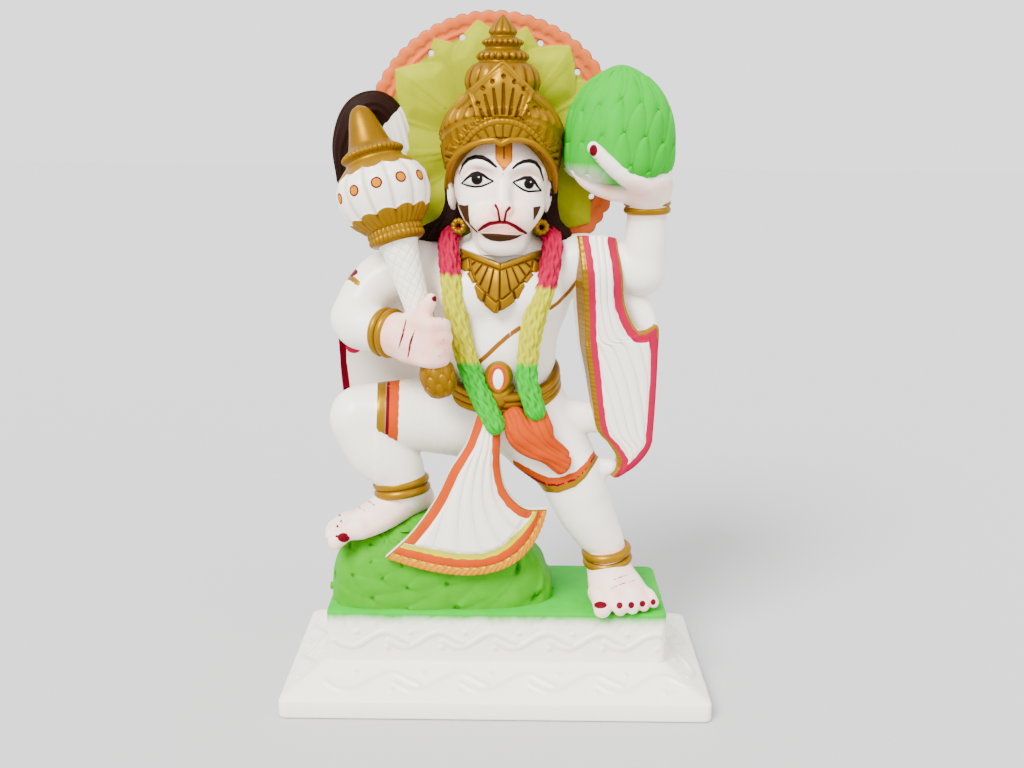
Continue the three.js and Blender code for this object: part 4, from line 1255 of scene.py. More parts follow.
def plate_carving(x, z):
    """How far the crown's front plate stands out at a spot, and how much painted shade darkens its
    grooves, holes and petal gaps.
    """
    dx, dz = x - ARCH_MIDDLE[0], z - ARCH_MIDDLE[1]
    reach, turn = np.hypot(dx, dz), np.degrees(np.arctan2(dx, dz))
    grow = 1.3 * ridge(reach - ARCH_RADIUS, 1.5) * (0.85 + 0.15 * np.cos(np.radians(turn) * 60))
    low = np.abs(np.sin(np.radians(turn) * 180 / 13.6))
    petals = smoothstep(ARCH_RADIUS - 1.2, ARCH_RADIUS - 2.4, reach)
    grow = grow + petals * (0.9 * low**0.5 - 0.4)
    # Painted shade in the gaps between the petals, the grooves and the holes of the plate.
    groove_shade = petals * smoothstep(0.5, 0.1, low) * 0.8
    number = np.round(turn / RIB_TURN)
    middle = np.radians(number * RIB_TURN)
    off = reach * np.sin(np.radians(turn) - middle)
    tip = np.where(np.abs(number) < 3, 44.5 - 2.3 * np.abs(number), 33.6)
    run = (reach - ARCH_RADIUS - 2.5) / np.maximum(tip - 2.6 - ARCH_RADIUS - 2.5, 1)
    within = smoothstep(0, 0.06, run) * (1 - smoothstep(0.92, 1.0, run))
    groove = within * ridge(off, 1.25 - 0.55 * np.clip(run, 0, 1))
    grow = grow - 1.1 * groove
    groove_shade = np.maximum(groove_shade, groove * 0.9)
    half = np.abs(((turn / RIB_TURN) % 1) - 0.5)
    tooth_foot = smoothstep(ARCH_RADIUS + 1.5, ARCH_RADIUS + 2.5, reach)
    teeth = tooth_foot * (1 - smoothstep(ARCH_RADIUS + 6.5, ARCH_RADIUS + 7.5, reach))
    grow = grow + 0.7 * teeth * smoothstep(0.5, 0.2, half)
    hole = ridge(np.hypot(off, reach - tip), 1.25)
    grow = grow - 1.5 * hole
    groove_shade = np.maximum(groove_shade, hole)
    panel = inside(x, z, PANEL)
    grow = grow + 1.2 * smoothstep(-0.4, 0.4, panel)
    for line in (PANEL, [(17.4, 281), (24.4, 274.6), (31, 264)],
                 [(-16.4, 281.5), (-23.6, 274.6), (-31, 264)]):
        away = curve_distance(x, z, line)
        grow = grow + 1.1 * ridge(away, 1.25)
        groove_shade = np.maximum(groove_shade * (away > 1.2), 0.55 * ridge(away - 1.9, 0.7))
    return grow, groove_shade


def crown_plate():
    rows = [
        [[-28.5, -9, 243], [0.5, -54, 279], [29.5, -9, 243]],
        [[-31, -10, 252], [0.5, -57, 284], [32, -10, 252]],
        [[-31, -9, 263], [0.5, -58, 291], [32, -9, 263]],
        [[-23, -13, 278], [0.5, -54, 297], [24, -13, 278]],
        [[-4, -26, 294], [0.5, -31, 302], [5, -26, 294]],
    ]

    def carve(place, measures):
        x, z = front_view(place.reshape(-1, 3))
        return plate_carving(x, z)[0].reshape(place.shape[:2]) - 0.6

    skin = sheet(rows, 9, (0, 1, 0), int(230 / COARSE), int(44 / COARSE), carve)
    x, z = front_view(skin.points)
    # Painted shade from the plate's carving darkens its grooves and holes.
    return coats(skin, gold=1.0, hollow=0.85 * plate_carving(x, z)[1])


def crown_rim():
    turn = np.linspace(-118, 118, 120)
    place = rim_place(turn) + [0, -0.4, 0.4]
    stations = [(*spot, 1.6, 1.6) for spot in place]
    skin = sweep(stations, 14, 1, across=(0, 0, 1))
    return coats(skin, gold=1.0,
                 orange=0.22 - np.abs(np.cos(skin.fields["turn"] - 4.3) - 1.1))


def crown_top():
    profile = [
        (0, 17), (0.08, 18.6), (0.2, 19.9), (0.33, 18.4), (0.41, 15.2), (0.44, 12.6), (0.5, 13.6),
        (0.55, 12.4), (0.6, 9.2), (0.67, 10.8), (0.71, 9.2), (0.74, 6.6), (0.8, 7.4), (0.88, 5.2),
        (0.95, 2.4), (1, 0.5),
    ]

    def carve(share, angle):
        dome = (share < 0.4) * smoothstep(0.02, 0.08, share) * (1 - smoothstep(0.34, 0.4, share))
        flutes = 1.1 * dome * (np.abs(np.cos(angle * 9)) ** 0.5 - 0.7)
        bulb = smoothstep(0.74, 0.8, share) * (1 - smoothstep(0.9, 0.98, share))
        flange = (ridge(share - 0.5, 0.05) + ridge(share - 0.67, 0.035)) * 0.5 * np.cos(angle * 22)
        return flutes + 0.5 * bulb * (np.abs(np.cos(angle * 5)) - 0.6) + flange

    skin = turned((0.5, -1, 280), (0.5, -1, 322.6), profile, int(260 / COARSE), int(110 / COARSE), carve)
    # Painted shade where the carving of the crown's top sinks.
    hollow = np.clip(0.35 - skin.fields["relief"] * 1.3, 0, 0.8)
    return coats(skin, gold=1.0, hollow=hollow)


def crown():
    skins = [crown_bowl(), crown_plate(), crown_rim(), crown_top()]
    for skin in skins:
        behind = skin.points[:, 1] - CROWN_BACK
        skin.points[:, 1] = np.where(behind > 0, CROWN_BACK + 0.05 * behind, skin.points[:, 1])
    return [thinned(skins[0], 30000), thinned(skins[1], 46000), skins[2], thinned(skins[3], 20000)]


# Head and hair. Face marks lie where they show on an upright plane at the eyes: x and height.
BROWS = [
    ([(-21.2, 241.8), (-19.1, 246.6), (-16.5, 249.4), (-12.7, 250.7), (-9.1, 250.4), (-5.9, 248.9),
      (-2.1, 245.8)],
     [0.9, 1.6, 2.2, 2.6, 2.6, 2.4, 1.6]),
    ([(6.5, 245.1), (8.8, 247.2), (12.0, 248.7), (15.2, 249.0), (18.1, 248.1), (20.4, 245.4),
      (22.4, 239.0)],
     [1.4, 1.9, 2.3, 2.5, 2.2, 1.8, 1.0]),
]
EYES = [
    {
        "upper": [(-19.9, 237.2), (-17.1, 239.9), (-14.2, 242.0), (-11.7, 242.6), (-8.8, 241.6),
                  (-6.2, 239.8), (-3.4, 238.6)],
        "lower": [(-19.9, 237.2), (-16.5, 236.1), (-12.9, 235.5), (-9.4, 235.9), (-6.2, 237.2),
                  (-3.4, 238.6)],
        "iris": (-11.9, 239.6),
        "size": 3.25,
    },
    {
        "upper": [(6.6, 238.2), (9.6, 239.3), (12.5, 240.4), (15.4, 240.4), (17.6, 238.7), (19.3, 236.2),
                  (21.2, 233.9)],
        "lower": [(6.6, 238.2), (9.0, 236.2), (11.9, 234.3), (14.8, 233.4), (18.0, 233.7), (21.2, 233.9)],
        "iris": (14.9, 237.4),
        "size": 2.9,
    },
]
FOREHEAD_MARK = [(-2.3, 259.5), (-2.2, 249.6), (1.8, 244.2), (5.9, 248.9), (5.7, 259.5)]
NOSE_LINES = [[(-2.3, 226.2), (-1.0, 223.9), (0.1, 217.8)], [(5.0, 225.0), (3.3, 222.9), (2.4, 217.8)]]
MOUTH = [(-10.9, 213.2), (-8.3, 215.1), (-5.1, 216.8), (-0.5, 217.5), (4.0, 217.4), (7.9, 215.6),
         (10.5, 213.8), (13.4, 212.3)]
LIP = [(13.4, 212.1), (9.3, 211.2), (4.1, 211.4), (-0.5, 211.8), (-5.1, 212.0), (-10.5, 211.9)]
CHIN = [(-10.6, 211.7), (-7.6, 209.1), (-4.4, 207.7), (0.2, 207.2), (5.4, 207.9), (9.3, 209.3),
        (13.2, 211.7)]
WHISKERS = [
    [(-21.6, 226.9), (-18.4, 226.2), (-16.1, 226.6), (-15.8, 221.1), (-15.2, 216.6), (-10.3, 211.6),
     (-12.2, 211.9),
     (-14.6, 214.2), (-17.4, 217.6), (-19.7, 221.6)],
    [(17.0, 225.7), (21.6, 226.4), (19.9, 222.0), (17.4, 217.6)],
]
HAIR = [
    [(-20, 6, 246, 8), (-23.5, 6, 236, 7), (-24.5, 6, 224, 6), (-28, 4, 214, 6), (-35, 3, 209, 5.6),
     (-41.5, 3, 207.5, 4.4)],
    [(21, 6, 246, 8), (24, 6, 236, 7), (25, 6, 224, 6), (27, 4, 214, 6), (31, 3, 209.5, 5.4),
     (34.5, 3, 208, 4.4)],
]
EARS = [(-27.2, -0.5, 230.5), (25.8, -0.5, 230)]


def head_form():
    block = Block((-49, -41, 198), (43, 27, 262), 0.55)
    block.egg((0.2, -3, 236), (25.2, 25, 29))
    for side, brow, eye in ((-1, (-12, 247.5), (-11.8, 239.2)), (1, (14.5, 247), (14.2, 237.4))):
        block.egg((0.8 + side * 11.5, -16, 226), (11, 11, 13), 6)
        block.egg((1.0 + side * 7.4, -27.5, 219), (8.4, 7.6, 6.4), 4)
        inner = 1 + side * 4
        block.limb([(inner, -27.5, brow[1] - 2, 2.2), (brow[0], -25, brow[1], 2.8),
                    (side * 20 + 1, -17, brow[1] - 4, 2.2)], 4)
        block.egg((eye[0], -31.5, eye[1] + 0.6), (8.6, 6.5, 4.4), 3, remove=True)
        block.egg((eye[0], -23.4, eye[1]), (7.6, 4.7, 4.3), 1.2)
        block.egg((1.3 + side * 3.2, -33.2, 224), (2.3, 2.8, 2.6), 1.5)
    block.egg((0.8, -20, 216.5), (16, 14, 11.5), 5)
    block.limb([(1.4, -24.5, 244, 3.2), (1.4, -28.5, 234, 3.8), (1.4, -32.5, 225.5, 3.9)], 4)
    block.egg((1.4, -33.2, 223.5), (3.4, 3.6, 4.2), 2.5)
    block.egg((1.3, -28.5, 212), (11.2, 6.4, 3.6), 1.6)
    block.egg((1, -22.5, 206), (12.5, 8.6, 7), 4)
    block.limb([(0.5, 0, 214, 17, 15), (0.5, 0, 200, 16.6, 15)], 4)
    for (x, y, z), side in zip(EARS, (-1, 1)):
        block.egg((x, y, z), (2.2, 4.8, 9.4), 0.8, tilt=-7 * side)
        block.egg((x + 1.4 * side, y - 2.6, z + 0.5), (1.2, 2.6, 6.2), 0.6, remove=True, tilt=-7 * side)
    for stations in HAIR:
        block.limb(stations, 0.6)

    def relief(p):
        x, z = front_view(p)
        facing = p[:, 1] < -14
        mouth = -0.75 * ridge(curve_distance(x, z, MOUTH), 1.1)
        lip = -0.4 * ridge(curve_distance(x, z, LIP), 0.9)
        lids = sum(0.4 * ridge(curve_distance(x, z, eye["upper"]), 0.9) for eye in EYES)
        sides = sum(-0.45 * ridge(curve_distance(x, z, line), 0.9) for line in NOSE_LINES)
        hair = np.maximum(limb_depth(p, HAIR[0]), limb_depth(p, HAIR[1])) > -0.7
        down = p[:, 2] - 0.6 * np.abs(p[:, 0])
        strands = 0.45 * np.sin(2.1 * (p[:, 1] + 0.55 * np.abs(p[:, 0])) + 0.6 * np.sin(down / 5))
        return np.where(facing, mouth + lip + lids + sides, 0) + np.where(hair, strands, 0)

    block.swell(relief)
    return thinned(block.skin(), 112000)


def ear_rim(points, place, side):
    """Depth inside the dark line round an ear."""
    u = points[:, 0] - place[0]
    w = points[:, 2] - place[2]
    reach = np.hypot(u / 2.3, w / 9.6)
    return np.where((side * u > 0.2) & (points[:, 1] > -4.4), (reach - 0.72) * 3, -1)


def head():
    skin = head_form()
    p = skin.points
    x, z = front_view(p)
    facing = p[:, 1] < -8
    white = np.full(len(x), -1.0)
    black = np.full(len(x), -1.0)
    umber = np.full(len(x), -1.0)
    white_glint = np.full(len(x), -1.0)
    for eye in EYES:
        almond = inside(x, z, [*eye["upper"], *eye["lower"][-2:0:-1]])
        away = np.hypot(x - eye["iris"][0], z - eye["iris"][1])
        white = np.maximum(white, almond)
        umber = np.maximum(umber, np.minimum(almond, eye["size"] - away))
        black = np.maximum(black, np.minimum(almond, eye["size"] - 0.55 - away))
        black = np.maximum(black, stroke(x, z, eye["upper"], [1.1, 1.7, 2.3, 2.5, 2.1, 1.6, 1.2]))
        black = np.maximum(black, stroke(x, z, eye["lower"], [1.1, 1.4, 1.5, 1.5, 1.4, 1.2]))
        # Painted highlight: a small light dot up and to the right of each iris.
        glint = 0.55 - np.hypot(x - eye["iris"][0] - 0.9, z - eye["iris"][1] - 0.9)
        white_glint = np.maximum(white_glint, glint)
    for line, widths in BROWS:
        black = np.maximum(black, stroke(x, z, line, widths))
    mark = inside(x, z, FOREHEAD_MARK)
    outline = stroke(x, z, FOREHEAD_MARK, 1.1)
    orange = np.maximum(outline, stroke(x, z, [(1.8, 245.4), (1.8, 243.8)], [1.6, 0.8]))
    crimson = np.maximum(stroke(x, z, NOSE_LINES[0], [1.9, 1.5, 1.6]),
                         stroke(x, z, NOSE_LINES[1], [2.1, 1.5, 1.6]))
    crimson = np.maximum(crimson, stroke(x, z, MOUTH, [1.5, 2.4, 2.5, 2.1, 2.1, 2.3, 2.5, 1.7]))
    crimson = np.maximum(crimson, 0.6 - np.hypot(x - 1.5, z - 242.2))
    crimson = np.maximum(crimson, stroke(x, z, [(1.8, 259), (1.9, 250)], [1.0, 1.1]))
    umber = np.maximum(umber, inside(x, z, [*LIP[::-1], *CHIN[::-1]]))
    for band in WHISKERS:
        umber = np.maximum(umber, inside(x, z, band))
    umber = np.maximum(umber,
                       stroke(x, z, [(-23.8, 238.5), (-23.7, 232.6), (-21.6, 226.5), (-17.6, 218)], 0.9))
    lips = inside(x, z, [*MOUTH, *LIP])
    hair = np.maximum(limb_depth(p, HAIR[0]), limb_depth(p, HAIR[1])) + 0.75
    hair = np.where(p[:, 1] > -12, hair, -1)
    muzzle = 1 - np.hypot((x - 1.2) / 15.5, (z - 218) / 10.5)
    lids = sum(
        np.exp(-(((x - eye["iris"][0]) / 9) ** 2) - ((z - eye["iris"][1] - 3) / 4.5) ** 2) for eye in EYES
    )
    blush = 0.04 + 0.20 * smoothstep(-0.3, 0.6, muzzle) + 0.12 * lids
    rim = [ear_rim(p, place, side) for place, side in zip(EARS, (-1, 1))]
    on_face = {
        "white": white, "rose": np.minimum(lips, 0.17), "amber": mark, "orange": orange,
        "crimson": crimson, "umber": umber,
        "black": black, "cream": white_glint,
    }
    on_face = {name: np.where(facing, values, -1.0) for name, values in on_face.items()}
    return coats(skin, blush=blush, brown=np.maximum(hair, np.maximum(*rim)), **on_face)


# Cloth
def folds(share, count, sway=0.0):
    """Round folds side by side, with narrow grooves between them."""
    return np.abs(np.sin(np.pi * count * (share + sway))) ** 0.55


def flap():
    rows = [
        [[-10, -27, 119], [-4.5, -31, 118], [1.5, -27, 119]],
        [[-17, -30.5, 98], [-8, -36, 97], [1.5, -30.5, 98]],
        [[-26, -32, 83], [-11, -39, 79], [1.5, -31, 85]],
        [[-34, -33.5, 66], [-11, -40.5, 59], [5, -31, 71]],
        [[-47, -35, 47], [-2, -42, 30], [15, -29, 60]],
        [[-62, -35, 32], [17, -44, 6], [28, -22, 57]],
    ]

    def hem(measures):
        return measures["end"] + 0.9 * np.abs(np.sin(measures["first"] / 2.4))

    def carve(place, m):
        cloth = smoothstep(5.5, 7.5, m["first"]) * smoothstep(5.0, 7.0, m["last"])
        cloth = cloth * smoothstep(13, 16, m["end"])
        sway = 0.02 * np.sin(m["down"] * 3)
        pleats = 1.6 * folds(m["across"], 6, sway) * cloth * smoothstep(0.02, 0.3, m["down"])
        border = 0.5 * ridge(m["first"] - 3, 3.2) + 0.5 * ridge(m["last"] - 3, 3.0)
        fringe = 1.0 * ridge(hem(m) - 2.6, 2.8) * (0.75 + 0.25 * np.sin(m["first"] * 1.9))
        band = 0.7 * ridge(m["end"] - 7.8, 2.6)
        return pleats + border * smoothstep(12, 15, m["end"]) + fringe + band

    skin = sheet(rows, 5, (0, 1, 0), int(200 / COARSE), int(40 / COARSE), carve)
    m = skin.fields
    wavering = 0.3 * ripples(skin.points, 5, 41)
    first, last, end = m["first"], m["last"], m["end"]
    hem_width = 13.6 - 4.0 * smoothstep(0.75, 1.0, m["across"])
    above = end - hem_width
    orange = np.maximum(np.minimum(5.8 - first + wavering, above),
                        np.minimum(5.2 - last + wavering, above))
    orange = np.maximum(orange, np.minimum(end - 0.35 * hem_width, 0.76 * hem_width - end) + wavering)
    gold = np.maximum(0.9 - first, 0.9 - last)
    amber = 0.36 * hem_width - end + 0.7 * np.sin(first * 1.3)
    yellow = np.minimum(hem_width - end, 1.0)
    black = 0.3 - np.abs(above - 0.3 - 0.2 * np.sin(first * 1.5)) - 0.2 * (np.sin(first * 0.9) > 0.6)
    crimson = 0.3 - np.abs(end - 0.37 * hem_width + 0.7 * np.sin(first * 1.3))
    # Painted shade in the grooves between the pleats.
    hollow = 0.30 * (1 - folds(m["across"], 6)) * (above > 0) * (first > 6) * (last > 5)
    return thinned_fields(
        skin, 46000, yellow=yellow, orange=orange, amber=amber, crimson=crimson, gold=gold, black=black,
        hollow=hollow
    )


def shawl_fall():
    rows = [
        [[41.5, -6, 207.5], [53, -14, 210], [64, 0, 206]],
        [[43.8, -17.5, 190], [55.5, -20, 192], [66.8, -12, 190]],
        [[45.6, -14, 172], [57, -18, 171], [69, -12, 171.5]],
        [[46.6, -14, 156], [61, -18, 150], [77, -11, 157]],
        [[47.2, -14, 147], [66, -18, 146], [87.4, -9, 160]],
        [[49.4, -14, 133], [69, -18, 130], [88.2, -9, 143]],
        [[51.4, -14, 119], [70, -18, 114], [88, -9, 118]],
        [[54.6, -14, 102], [72, -18, 98], [87.2, -10, 98]],
        [[61, -14, 94], [75, -17, 90], [86.8, -10, 93]],
        [[66.2, -14, 85.4], [76, -16, 82], [84, -10.5, 87]],
        [[65.8, -13.5, 78.3], [71.5, -15, 76], [77, -11, 79]],
        [[63.3, -13, 74.4], [65.5, -14, 73], [67.5, -11.5, 73]],
    ]
    leans = (0, -0.35, -0.42, -0.34, -0.28, -0.18, -0.12, -0.08)

    def bend(m):
        """Counts the long folds, which sweep out to the far side as the cloth falls."""
        lean = 0.62 * smoothstep(0.22, 0.95, m["down"])
        return (m["across"] - lean + 0.04 * np.sin(9 * m["down"])) * 6.5

    right_edge = [(x, z) for x, y, z in (row[2] for row in rows)]
    right_edge = [tuple(spot) for spot in spline(right_edge, 4)]

    def carve(place, m):
        edge = curve_distance(place[..., 0], place[..., 2], right_edge)
        cloth = smoothstep(6.5, 9, m["first"]) * smoothstep(4, 7, edge)
        pleats = 1.2 * np.abs(np.sin(np.pi * bend(m))) ** 0.6 * cloth
        left_border = 0.6 * ridge(m["first"] - 1.6, 1.9) + 0.35 * ridge(m["first"] - 4.9, 1.8)
        border = left_border + 0.4 * ridge(edge - 2.6, 2.4)
        ticks = 0.22 * (np.sin(m["down"] * 420) > 0.3) * (m["first"] < 3.4)
        return pleats + border - ticks

    skin = sheet(rows, 12, (0, 1, 0), int(190 / COARSE), int(20 / COARSE), carve, leans=leans)
    m = skin.fields
    faced = m["last"] < 0.9 * FAR
    wavering = 0.3 * ripples(skin.points, 5, 43)
    first, down = m["first"], m["down"]
    right = curve_distance(skin.points[:, 0], skin.points[:, 2], right_edge) + wavering
    narrowing = 1 - 0.45 * smoothstep(0.8, 0.95, down)
    gold = (3.6 - first / narrowing) * 0.8
    pink = np.minimum(7.2 - first / narrowing + wavering, 1.0)
    draped = smoothstep(0.40, 0.44, down)
    pink = np.maximum(pink, np.where(faced, np.minimum(6.2 - 1.4 * draped - right, 1.0), -1))
    gold = np.maximum(gold, np.where(faced, 1.8 - 3.0 * draped - right, -1))
    fold = np.abs(np.sin(np.pi * bend(m)))
    # Painted shade in the fold grooves and in the cut ticks of the left border.
    hollow = 0.30 * smoothstep(0.5, 0.05, fold) * smoothstep(6.5, 9, first) * (right > 5) * faced
    hollow = hollow + 0.4 * (first < 3.4) * (np.sin(down * 420) > 0.3)
    return thinned_fields(skin, 36000, pink=pink, gold=gold, hollow=hollow)


def shawl_back():
    rows = [
        [[-42, 18, 203], [0, 40, 206], [60, 14, 204]],
        [[-73, 19, 184], [-10, 50, 180], [68, 13, 186]],
        [[-90, 17, 160], [-50, 46, 154], [12, 29, 166]],
        [[-91, 16, 134], [-60, 36, 124], [-22, 28, 138]],
        [[-88, 12, 106], [-62, 26, 96], [-36, 26, 108]],
    ]

    def carve(place, m):
        return 1.4 * folds(m["across"] + 0.25 * m["down"], 6) - 0.7

    skin = sheet(rows, 6, (0, -1, 0), int(150 / COARSE), int(24 / COARSE), carve)
    m = skin.fields
    edge = np.minimum(m["first"], m["end"])
    x, z = front_view(skin.points, 16)
    spot = 4.2 - np.hypot((x + 84) * 0.8, z - 141)
    border = stroke(x, z, [(row[0][0], row[0][2]) for row in rows], 5.5)
    return thinned_fields(
        skin, 16000, pink=np.maximum(2.4 - edge, spot), crimson=border,
        gold=1.8 - np.hypot(x + 87.5, z - 144)
    )


def shawl_roll():
    stations = [(60, 9, 183, 9), (69, 7, 175, 9), (77, 4, 167, 8.4), (83, -1, 157, 5.5)]

    def pleats(gone, turn):
        return 0.5 * np.abs(np.sin(turn * 2.5 + gone / 30)) ** 0.6

    return coats(sweep(stations, int(60 / COARSE), 12, carve=pleats))


def sash():
    def pleats(gone, turn):
        wound = 0.7 * np.abs(np.sin(4.5 * turn + 0.08 * gone)) ** 0.6
        return wound + 0.25 * np.sin(gone / 2.7 + 3 * turn)

    ends = [
        [(9, -28, 113, 5, 5), (12, -31, 104, 7.6, 5.4), (20, -30, 96, 6.4, 5), (28.5, -28, 90, 4.4, 4.4),
         (36, -25.5, 84, 5.4, 3.6)],
        [(20, -27, 113, 6.5, 4.5), (23, -29, 105, 6.4, 4.8), (27, -27.5, 97.5, 5, 4.4),
         (36, -25, 89.5, 3.6, 3)],
        [(7, -28.5, 112, 4.5, 5), (9.5, -31, 106, 5, 5), (14, -31, 100, 3.4, 4)],
    ]
    skins = []
    for stations in ends:
        skin = sweep(stations, int(72 / COARSE), 12, carve=pleats)
        wound = 4.5 * skin.fields["turn"] + 0.08 * skin.fields["along"]
        # Painted shade between the wound pleats.
        hollow = 0.4 * smoothstep(0.35, 0.05, np.abs(np.sin(wound)))
        skins.append(coats(skin, orange=1.0, hollow=hollow))
    return skins


# Garland of soft flower strands, dyed in three colours
GARLAND = [
    [(-26.5, 3, 209, 5.0), (-27.8, -10, 203.5, 5.3), (-26, -18.5, 188, 5.6), (-22.8, -22.5, 166, 5.7),
     (-17.8, -24.5, 145, 5.7), (-11, -27, 127, 5.8), (-1.5, -32, 108.5, 5.2)],
    [(27, 3, 209, 5.0), (28.4, -10, 203, 5.3), (25.4, -18, 186, 5.6), (18.4, -22.5, 163, 5.7),
     (15.5, -24, 143, 5.5),
     (15.8, -27, 130, 5.7), (20.3, -30, 116, 5.3)],
]


def garland():
    skins = []
    strands = zip(GARLAND, (187, 180.5), (141.5, 141.5))
    for number, (stations, pink_end, green_start) in enumerate(strands):
        def tufts(gone, turn):
            shift = 1.1 * np.sin(gone * 0.7 + 3 * np.cos(turn + number))
            coarse = 0.6 * np.cos(7 * turn + shift) * np.cos(gone * 0.62 + turn)
            return coarse + 0.35 * np.sin(15 * turn + gone * 0.3 + shift)

        skin = sweep(stations, int(64 / COARSE), 22, carve=tufts)
        z = front_view(skin.points, -20)[1] + 1.2 * ripples(skin.points, 4, 51)
        # Painted shade in the dips between the tufts.
        hollow = np.clip(-0.8 * skin.fields["relief"], 0, 0.5)
        coats(skin, yellow=1.0, green=0.1 * (green_start - z),
              pink=0.12 * (z - pink_end), hollow=hollow)
        skins.append(thinned(skin, 24000))
    return skins


# Tail
def tail():
    stations = [
        (4, 27, 104, 9), (-24, 31, 112, 9), (-46, 31, 138, 9), (-54, 29, 175, 8.6),
        (-54, 25, 230, 8.4), (-58.5, 23, 263, 8), (-67, 22, 274.5, 8.6), (-78.5, 21, 271, 9.4),
        (-85, 19, 255, 8.6), (-87.5, 17, 236, 4),
    ]

    def strands(gone, turn):
        return 0.3 * np.sin(13 * turn + 0.9 * np.sin(gone / 6)) * smoothstep(178, 186, gone)

    skin = sweep(stations, int(110 / COARSE), 14, carve=strands)
    x, z = front_view(skin.points, 22)
    edge = (-62.5 - x) * 0.75 + (z - 268) * 0.65 + 0.4 * ripples(skin.points, 6, 71)
    high = skin.points[:, 2] > 225
    brown = np.where(high, np.maximum(edge, -68 - skin.points[:, 0]), -1)
    return thinned_fields(skin, 14000, brown=brown)


# Gold: belt, necklace, rings
NECKLACE_TOP = [(-21.3, 201), (0.6, 194.8), (23, 200.8)]
NECKLACE_EDGE = [(-22.4, 200), (-21.2, 190.5), (-16.6, 180.5), (-8.6, 173.4), (-1.9, 168.2), (5.6, 172.6),
                 (13.8, 179), (22.6, 188.5), (24, 200)]


def necklace():
    """Two rows of plates under a narrow rim, in two halves that meet in a point."""
    halves = [
        [
            [[-21.3, -8, 201], [-11, -20, 198.6], [0.6, -25, 194.8]],
            [[-21.2, -14, 190.5], [-11, -25, 187], [0.2, -28.5, 184.5]],
            [[-16.6, -18.5, 180.3], [-8.5, -26, 177.4], [-0.6, -28.8, 175.4]],
            [[-8.6, -23, 173.2], [-5, -26.5, 172], [-1.4, -28, 171]],
            [[-2.6, -26, 168.8], [-2.2, -26.4, 168.5], [-1.8, -26.6, 168.4]],
        ],
        [
            [[0.5, -25, 194.8], [12.5, -20, 198.6], [23, -8, 200.8]],
            [[0.1, -28.5, 184.5], [11.5, -24.5, 187], [22.6, -14, 188.5]],
            [[-0.7, -28.8, 175.4], [6.5, -26, 177.4], [13.8, -20, 178.8]],
            [[-1.5, -28, 171], [1.8, -26.6, 171.8], [5.6, -24, 172.4]],
            [[-1.9, -26.6, 168.4], [-1.5, -26.4, 168.5], [-1.1, -26, 168.8]],
        ],
    ]

    def plates(place):
        """The rim, the plates and the gaps between them, at places on the necklace."""
        x, z = place[..., 0], place[..., 2]
        out = curve_distance(x, z, NECKLACE_EDGE)
        rim = curve_distance(x, z, NECKLACE_TOP)
        turn = np.degrees(np.arctan2(x - 0.3, 207 - z))
        near = smoothstep(0.3, 0.9, out) * (1 - smoothstep(5.2, 5.8, out))
        far = smoothstep(6.2, 6.8, out) * smoothstep(2.6, 3.2, rim)
        pitch = np.where(out < 6, 15.0, 12.0)
        cell = np.abs((turn / pitch) % 1 - 0.5)
        return ridge(rim - 0.6, 2.0), near, far, cell

    skins = []
    for rows in halves:
        def carve(place, m):
            rim, near, far, cell = plates(place)
            dome = smoothstep(0.5, 0.36, cell)
            return 1.3 * rim + 1.3 * (near + far) * dome * (rim < 0.2) - 0.3

        skin = sheet(rows, 6, (0, 1, 0), int(150 / COARSE), int(34 / COARSE), carve)
        rim, near, far, cell = plates(skin.points)
        inner = (rim < 0.05) * 1.0
        gap = smoothstep(0.38, 0.46, cell) * (near + far)
        between = 1 - np.clip(near + far, 0, 1)
        # Painted shade in the gaps between and around the plates, off the rim.
        hollow = np.clip(0.8 * inner * np.maximum(gap, 0.8 * between), 0, 0.85)
        skins.append(thinned_fields(skin, 21000, gold=1.0, hollow=hollow))
    return skins


BELT_FOOT, BELT_TOP = np.array([0.9, 2.4, 122.6]), np.array([1.1, -2.8, 135.0])
BELT_CORDS = 3


def belt():
    skins = []
    for cord in range(BELT_CORDS):
        share = (cord + 0.5) / BELT_CORDS
        width, depth = 32.8 - 1.6 * share - 1.0, 26.6
        middle = BELT_FOOT + (BELT_TOP - BELT_FOOT) * share
        skin = hoop(middle, BELT_TOP - BELT_FOOT, width, 2.75, int(400 / COARSE), 18, depth)
        # Painted shade on the upper and lower sides of each cord, where the cords touch.
        hollow = 0.75 * smoothstep(0.55, 0.95, np.abs(np.sin(skin.fields["around"])))
        skins.append(thinned(coats(skin, gold=1.0, hollow=hollow), 7500))
    block = Block((-14, -38, 116), (14, -15, 147), 0.5)
    block.egg((0, -25.5, 134), (7.8, 5.4, 8.8))
    block.limb([(-6.2, -23.5, 127.5, 2.6), (0, -26.5, 123.2, 3.4), (6.6, -23.5, 127.5, 2.6)], 1.2)
    block.limb([(0, -26, 127, 3.2), (0, -27, 121, 4.2, 2.4)], 1.0)

    def oval_rim(p):
        return 0.8 * ridge(np.hypot((p[:, 0] + 0.1) / 5.6, (p[:, 2] - 134) / 7.0) * 6 - 6, 1.2)

    block.swell(oval_rim)
    clasp = thinned(block.skin(), 7000)
    x, z = front_view(clasp.points, -30)
    round_orange = 5 * (1 - np.hypot((x + 0.2) / 5.0, (z - 134.4) / 7.4))
    round_white = 2.8 * (1 - np.hypot((x + 0.2) / 2.9, (z - 133.8) / 5.8))
    coats(clasp, gold=1.0, orange=round_orange, white=round_white)
    return [*skins, clasp]


def ringed(centre, axis, radius, thickness, notches):
    def notch(turn, spot):
        return 0.14 * np.sin(turn * notches)

    skin = hoop(centre, axis, radius, thickness, int(140 / COARSE), 14, carve=notch)
    # Painted shade in the notches round the ring.
    return coats(skin, gold=1.0,
                 hollow=0.3 * smoothstep(0, -1, np.sin(skin.fields["turn"] * notches)))


